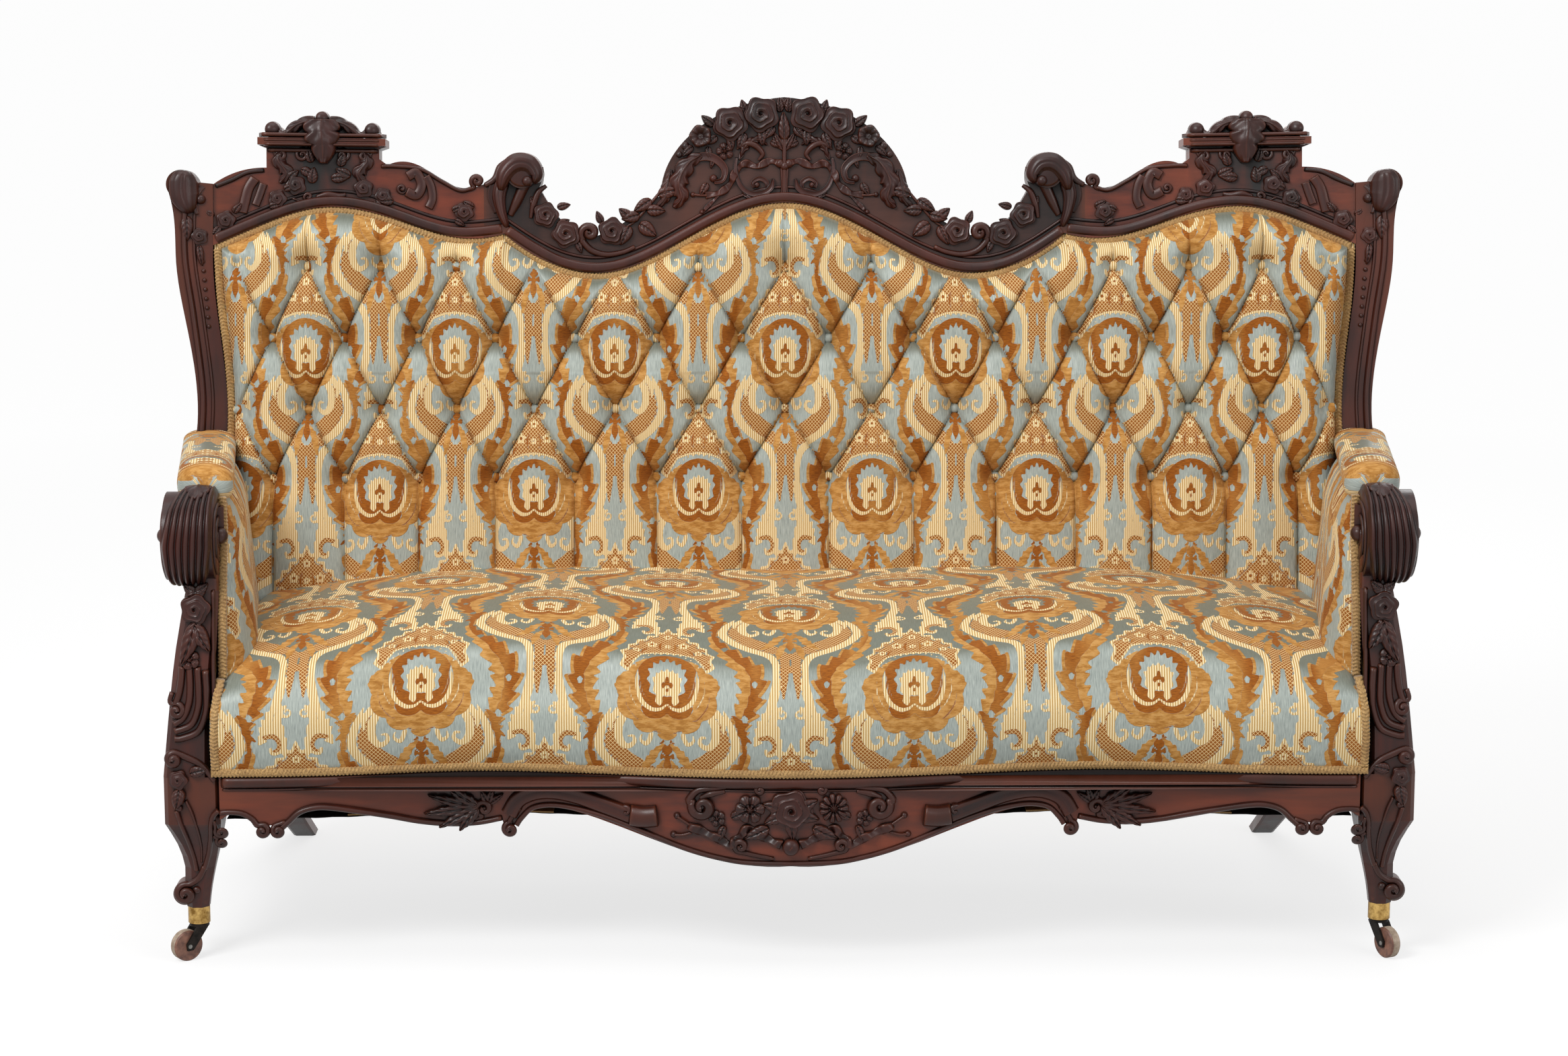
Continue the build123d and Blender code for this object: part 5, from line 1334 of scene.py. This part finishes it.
def carve_apron(heap):
    """Bouquet, ribbon, reeds and beads of the apron."""
    at = placer(heap, on_apron)
    top = np.linspace(-796, 796, 240)
    moulding(at(), np.column_stack([top, np.full(240, 266.0)]), [(-8, 3), (-6, 6), (0, 8), (5, 7), (7, 4)])
    moulding(at(), np.column_stack([top, np.full(240, 255.0)]), round_profile(4, 2.6))
    rose(at(0, 228, 0, 2), 29, 3.4, 0.38, 36, 64)
    for turn in (20, 160, 200, 340, 270):
        leaf(at(0, 226, turn, 2), 42, 22, 7, 3)
    blossom(at(-57, 230, 0, 4), 21, 6)
    blossom(at(60, 231, 0, 4), 21, 11)
    for side, _ in SIDES:
        lay = placer(heap, on_apron, side)
        blossom(lay(103, 215, 0, 2), 12, 5)
        leaf(lay(84, 216, 150, 2), 26, 15, 6, 3)
        leaf(lay(92, 205, -60, 2), 24, 13, 6, -3)
        leaf(lay(30, 204, -30, 2), 40, 20, 7, 4)
        volute(lay(), [(86, 262), (108, 258), (130, 254), (142, 240)], 124, 232, 15, 20, -1.25, 8, 4, 10)
        tube(lay(), [(92, 254, 2), (112, 250, 4), (126, 244, 4)], (3, 5, 3), 30)
        volute(lay(), [(20, 264), (34, 263)], 43, 257, 6, 90, -1.2, 4, 2.5, 5)
        ribbon(lay(), [(12, 178), (30, 186), (46, 194), (62, 200), (74, 186), (86, 178), (104, 188), (124, 196),
                       (144, 204)], 17, 5.5, 7)
        tube(lay(), [(140, 204, 3), (152, 212, 4), (158, 216, 4)], (2, 2, 2), 14, 8)
        bud(lay(159, 217), 5, 1.2)
        tube(lay(), [(138, 194, 3), (152, 190, 4), (162, 190, 4)], (2, 2, 2), 14, 8)
        bud(lay(164, 190), 5, 1.2)
        volute(lay(), [(24, 158), (46, 162), (64, 166)], 70, 176, 9, -60, 1.2, 5, 3, 7)
        # Husk and the long reed behind it
        moulding(lay(), smooth_path([(186, 216), (206, 214), (226, 216)], 20),
                 [(-15, 5), (-11, 11), (0, 15), (11, 11), (15, 5)])
        volute(lay(), [(226, 208), (234, 212)], 230, 222, 8, -60, 1.1, 4, 2.6, 7)
        reed = smooth_path([(222, 211), (262, 225), (306, 239), (346, 243), (378, 232), (394, 208)], 70)
        moulding(lay(), reed, [(-9, 2), (-6, 6), (-1, 8), (3, 6), (6, 6), (9, 8), (13, 6), (15, 2)])
        volute(lay(), [(380, 220), (392, 206)], 394, 190, 9, 80, -1.3, 5, 3.5, 8)
        # Acanthus spray
        for k, (turn, long) in enumerate(((150, 62), (168, 76), (186, 80), (204, 66), (222, 46))):
            leaf(lay(436, 222, 180 - turn, 2), long, 20, 8, 6 - 3 * k, 5, 26, 15)
        volute(lay(), [(468, 210), (452, 204), (436, 206)], 430, 220, 12, -70, 1.3, 5, 3, 8)
        for k in range(3):
            leaf(lay(424, 226, 60 + 40 * k, 2), 26, 12, 6, 2)
        # Bead along the lower edge, ending in paired curls
        edge = smooth_path([(404, 206), (440, 199), (480, 198), (520, 203), (560, 212), (600, 220), (640, 227),
                            (664, 228), (686, 222), (702, 208), (712, 199)], 110)
        moulding(lay(), edge, round_profile(9, 6))
        volute(lay(), [(706, 208)], 716, 196, 8, 60, -1.2, 5, 3.5, 7)
        volute(lay(), [(797, 222), (784, 223), (766, 221), (752, 213), (745, 204)], 738, 196, 8, 100, 1.2, 5, 3.5, 7)
    bud(at(0, 176, 0, 4), 13, 0.9)
    half = [(60, 152), (100, 158), (140, 168), (180, 182), (220, 198), (260, 212), (300, 222), (335, 226), (362, 221),
            (378, 206), (386, 194)]
    low = smooth_path([(-x, z) for x, z in half[::-1]] + [(0, 151)] + half, 200)
    moulding(at(), low, round_profile(8, 5))


def carve_post(heap, side):
    """Flutes, rose and scrolls of an arm post and its front leg."""
    at = placer(heap, on_post, side)
    here = at()
    # Flutes that sweep down the post and out to its edge
    for pts in ([(846, 428), (848, 404), (851, 388), (856, 374)],
                [(836, 428), (835, 398), (837, 376), (845, 357), (858, 347)],
                [(825, 428), (823, 394), (824, 370), (834, 347), (858, 337)],
                [(814, 424), (812, 390), (813, 364), (824, 338), (846, 328), (858, 327)]):
        bead(here, pts, 50, 10.5, 6)
    bead(here, [(803, 535), (803, 440), (802, 350), (803, 320), (806, 290)], 60, 6, 4)
    volute(here, [(860, 392), (863, 380)], 854, 367, 10, 60, 1.3, 5, 3.5, 7)
    rose(at(827, 507, 0, 6), 20)
    leaf(at(824, 492, -74, 4), 66, 26, 9, 5, 0, 28, 15)
    leaf(at(830, 488, -114, 4), 46, 24, 9, -5, 0, 28, 15)
    leaf(at(826, 528, 140, 2), 22, 16, 6)
    leaf(at(828, 528, 40, 2), 20, 16, 6)
    leaf(at(827, 536, -90, 2), 18, 30, 6)
    blossom(at(835, 437, 0, 4), 14, 5)
    # Knee: scroll, rose and the moulded edges of the leg
    volute(here, [(803, 268), (812, 280), (824, 292), (840, 300), (854, 306)], 859, 298, 9, 90, -1.25, 6, 4.5, 8)
    small_rose(at(853, 270, 0, 4), 13, 0.7)
    leaf(at(838, 278, 160, 2), 26, 18, 6, 3)
    leaf(at(852, 258, -86, 3), 30, 20, 7, 3)
    bud(at(852, 240), 7, 1.0)
    bud(at(853, 229), 5, 1.0)
    bead(here, [(857, 226), (853, 210), (844, 176), (838, 150), (835, 130)], 50, 7, 5)
    bead(here, [(798, 226), (806, 218), (810, 204), (812, 184), (817, 158), (825, 132)], 60, 8, 6)
    bead(here, [(844, 240), (836, 222), (830, 198), (827, 170), (828, 142)], 50, 4, 2.5)
    volute(here, [(806, 210), (804, 202)], 796, 193, 9, 30, -1.25, 4.5, 3, 7)
    volute(here, [(808, 186), (804, 182)], 797, 176, 7.5, 60, -1.25, 4, 3, 6)
    volute(here, [(824, 138), (832, 122), (844, 113)], 851, 99, 13, 85, -1.35, 6, 4, 9)
    bud(at(836, 104), 6, 1.0)


def reeded_scroll(heap, side):
    """The arm's end: a fluted roll that turns over and in."""
    cols, rows = 108, 91
    phi = np.linspace(0, ROUND, cols, endpoint=False)[None, :]
    s = np.linspace(-1, 1, rows)[:, None]
    # The flutes spread over the front and lean in at the top
    past_top = np.degrees(phi) - 90
    fan = np.interp(past_top, (-90, -30, 0, 50, 95, 140, 180, 270), (0.66, 0.62, 0.62, 0.88, 1.0, 0.84, 0.62, 0.66))
    lean = np.interp(past_top, (-90, -30, 0, 45, 90, 135, 180, 270), (-0.30, -0.34, -0.36, -0.12, 0, 0.08, 0.16, -0.30))
    across = (s - lean) / fan
    inside = np.sqrt(np.clip((1 - np.abs(across)) / 0.10, 0, 1))
    flutes = np.abs(np.cos(3.5 * math.pi * across)) ** 0.8
    r = SCROLL_R + 0.0006 + inside * (0.0022 + 0.0046 * flutes + 0.0030 * np.clip(1 - across**2, 0, 1))
    x = side * (SCROLL_X + 0.0345 * s)
    heap.add(stacked(x, SCROLL_Y + r * np.cos(phi), SCROLL_Z + r * np.sin(phi)), grid_faces(rows, cols, 0, True))
    for end, face_x in ((-1, 0.7985), (1, 0.8675)):
        def on_end(a, b, h, end=end, face_x=face_x):
            return stacked(side * (face_x + end * h), SCROLL_Y + a, SCROLL_Z + b)
        volute(Place(heap, on_end, 0, 0), [(10, -56), (-20, -50)], 0, 0, 50, 215, -2.3, 3, 2, 1)

    def on_roll(a, b, h):
        turn, r = b / 0.060, 0.0672 + h
        return stacked(side * (SCROLL_X + a), SCROLL_Y - r * np.sin(turn), SCROLL_Z + r * np.cos(turn))
    # Leaf that laps over the roll from the pad
    plume(Place(heap, on_roll, 0, 0), [(-10, -8), (-11, 8), (-10, 22), (-8, 34)], (40, 42, 32, 10), 6, 3)


def carved(carve, name, *side):
    """One carved piece from its drawing."""
    heap = Heap()
    carve(heap, *side)
    heap.build(name, CARVED)


carved(carve_crest_center, "crest_carving_center")
carved(carve_apron, "apron_carving")
for carve_side, side_name in SIDES:
    carved(carve_crest_side, f"crest_carving_{side_name}", carve_side)
    carved(carve_stile, f"stile_carving_{side_name}", carve_side)
    carved(carve_post, f"post_carving_{side_name}", carve_side)
    carved(reeded_scroll, f"arm_scroll_{side_name}", carve_side)


# Gimp braid along the edges of the cloth
BRAID_LOOP, BRAID_STEP = 5.2, 1.25  # one loop and the spacing of points, in millimetres
braid = Heap()


def braid_strip(surface, line, width, lift):
    """Looped braid along a line of (across, up) points in millimetres."""
    line = np.asarray(line, float)
    arc = arc_lengths(line)
    at = np.linspace(0, arc[-1], int(arc[-1] / BRAID_STEP) + 2)
    line = np.column_stack([np.interp(at, arc, line[:, k]) for k in range(2)])
    s = np.linspace(-1, 1, 11)[None, :]
    beat = at[:, None] / BRAID_LOOP
    w = width / 2 * (0.84 + 0.20 * np.abs(np.sin(np.pi * beat)))
    h = 1.0 + 1.5 * (1 - np.abs(s) ** 3) + 1.1 * np.cos(ROUND * (beat - 0.55 * np.abs(s)))
    h = h - 0.6 * np.exp(-((np.abs(s) - 0.62) / 0.14) ** 2)
    sweep(Place(braid, surface, 0, 0, lift=lift), line, w * s, h)


def on_arm_edge(x, z, h):
    """In front of the edge of the inside arm's cloth."""
    return stacked(x, arm_edge(z) - h, z)


def on_seat_corner(x, z, h):
    """In front of the seat's rolled front, at its ends."""
    y = np.interp(z, (0.27, 0.32, 0.36, 0.39, 0.42), (-0.383, -0.392, -0.390, -0.376, -0.345))
    return stacked(x, y - h, z)


braid_strip(on_back, arc_line(crest_low, -430, 430, 300, -6.0), 13.5, 5.0)
braid_strip(on_apron, np.column_stack([np.linspace(-808, 808, 500), np.full(500, 279.5)]), 13, 4.0)
stile_rise = np.linspace(0.506, 0.02, 120)
for braid_side, _ in SIDES:
    mirror = (braid_side, 1)
    braid_strip(on_back, arc_line(crest_low, 433, 862, 160, -6.0) * mirror, 13.5, 5.0)
    braid_strip(on_back, np.column_stack([stile_inner(stile_rise) * 1000 - 6, stile_rise * 1000]) * mirror, 13.5, 5.0)
    braid_strip(on_arm_edge, np.array([(794, 655), (792, 600), (792, 520), (793, 405)]) * mirror, 13, 2.5)
    braid_strip(on_seat_corner, np.array([(801, 284), (801, 330), (799, 372), (794, 408)]) * mirror, 13, 2.0)
braid.build("gimp_braid", BRAID)


# Solids that stay: better finishes
FINISHES = (
    (WOOD_CREST, "crest_center"),
    (WOOD_X, "crest_left crest_right front_rail rear_rail"),
    (WOOD_Z, "stile_left stile_right arm_post_left arm_post_right"),
    (WOOD_Z, "front_leg_left front_leg_right rear_leg_left rear_leg_right"),
    (WOOD_Y, "side_rail_left side_rail_right arm_left arm_right"),
    (INNER_WOOD, "back_lower_rail back_stays corner_blocks"),
    (JUTE, "seat_webbing spring_cover"),
    (STEEL, "seat_springs caster_axle_left caster_axle_right"),
    (BRASS, "caster_ferrule_left caster_ferrule_right"),
    (IRON, "caster_fork_left caster_fork_right"),
    (WHEEL, "caster_wheel_left caster_wheel_right"),
)
for finish, node_names in FINISHES:
    for node_name in node_names.split():
        node_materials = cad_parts[node_name].data.materials
        node_materials.clear()
        node_materials.append(finish)

# The rim of each wheel is worn pale
RIM = 0.0185  # distance from the axle where the rim starts
WHEEL_AXES = {"left": ((-0.573576, 0.819152, 0), (-0.853202, -0.352045, 0.022)),
              "right": ((-0.882948, -0.469472, 0), (0.845859, -0.358542, 0.022))}
for wheel_side, (joint_axis, hub) in WHEEL_AXES.items():
    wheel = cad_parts[f"caster_wheel_{wheel_side}"]
    wheel.data.materials.append(TREAD)
    axis, middle = Vector(joint_axis), Vector(hub)
    for face in wheel.data.polygons:
        spot = wheel.matrix_world @ face.center - middle
        away = (spot - axis * spot.dot(axis)).length
        if away > RIM and abs((wheel.matrix_world.to_3x3() @ face.normal).dot(axis)) < 0.5:
            face.material_index = 1


# Floor, light and camera
def grey(level):
    return (level, level, level, 1)


FLOOR_HALF = 60
floor_mat, floor_graph = new_material("pale_floor")
floor_seen = floor_graph.seen()
floor_place = floor_graph.node("NewGeometry")["Position"]
floor_away = floor_graph.node("VectorMath", floor_place, operation="LENGTH")["Value"]
floor_fade = floor_graph.span(floor_away, 1.6, 5.0)
floor_tone = floor_graph.mix(floor_seen, grey(0.5), grey(0.27))
floor_glow = floor_graph.span(floor_fade, 0.0, 1.0, 0.74, 0.96)
floor_graph.put("Base Color", floor_graph.mix(floor_fade, floor_tone, grey(0.05)))
floor_graph.put("Emission Color", grey(1))
floor_graph.put("Emission Strength", floor_graph.mul(floor_seen, floor_glow))
floor_graph.put("Roughness", 0.9)
floor_graph.put("Specular IOR Level", 0.0)
floor_corners = [(FLOOR_HALF * x, FLOOR_HALF * y, 0) for x, y in ((-1, -1), (1, -1), (1, 1), (-1, 1))]
floor = make_object("studio_floor", floor_corners, [(0, 1, 2, 3)], floor_mat)

world = bpy.data.worlds.new("studio")
bpy.context.scene.world = world
world.use_nodes = True
sky = Graph(world.node_tree, world.node_tree.nodes["Background"])
sky.put("Color", grey(1))
sky.put("Strength", sky.span(sky.seen(), 0.0, 1.0, 0.40, 0.97))


def area_light(name, place, target, size, watts):
    """A soft lamp that looks at a target."""
    data = bpy.data.lights.new(name, "AREA")
    data.shape, data.size, data.size_y, data.energy = "RECTANGLE", size[0], size[1], watts
    lamp = bpy.data.objects.new(name, data)
    bpy.context.scene.collection.objects.link(lamp)
    lamp.location = place
    lamp.rotation_euler = (Vector(target) - Vector(place)).to_track_quat("-Z", "Y").to_euler()


area_light("key_light", (-2.2, -3.0, 3.6), (0, 0, 0.6), (1.8, 1.5), 150)
area_light("fill_light", (3.2, -3.4, 2.4), (0, 0, 0.6), (2.4, 2.0), 42)
area_light("rear_light", (0.6, 3.6, 2.6), (0, 0.2, 0.6), (2.6, 1.6), 45)
area_light("top_light", (0.0, -0.3, 3.8), (0, 0, 0.5), (3.2, 2.0), 45)

cam_data = bpy.data.cameras.new("camera")
cam_data.sensor_fit, cam_data.sensor_width, cam_data.lens = "HORIZONTAL", 36.0, 84.04
cam = bpy.data.objects.new("camera", cam_data)
bpy.context.scene.collection.objects.link(cam)
cam.location = (-0.07, -5.35, 1.516)
tilt, yaw = math.radians(10.18), math.radians(0.699)
ahead = Vector((math.sin(yaw) * math.cos(tilt), math.cos(yaw) * math.cos(tilt), -math.sin(tilt)))
cam.rotation_euler = ahead.to_track_quat("-Z", "Y").to_euler()
bpy.context.scene.camera = cam
bpy.context.scene.view_settings.view_transform = "Standard"
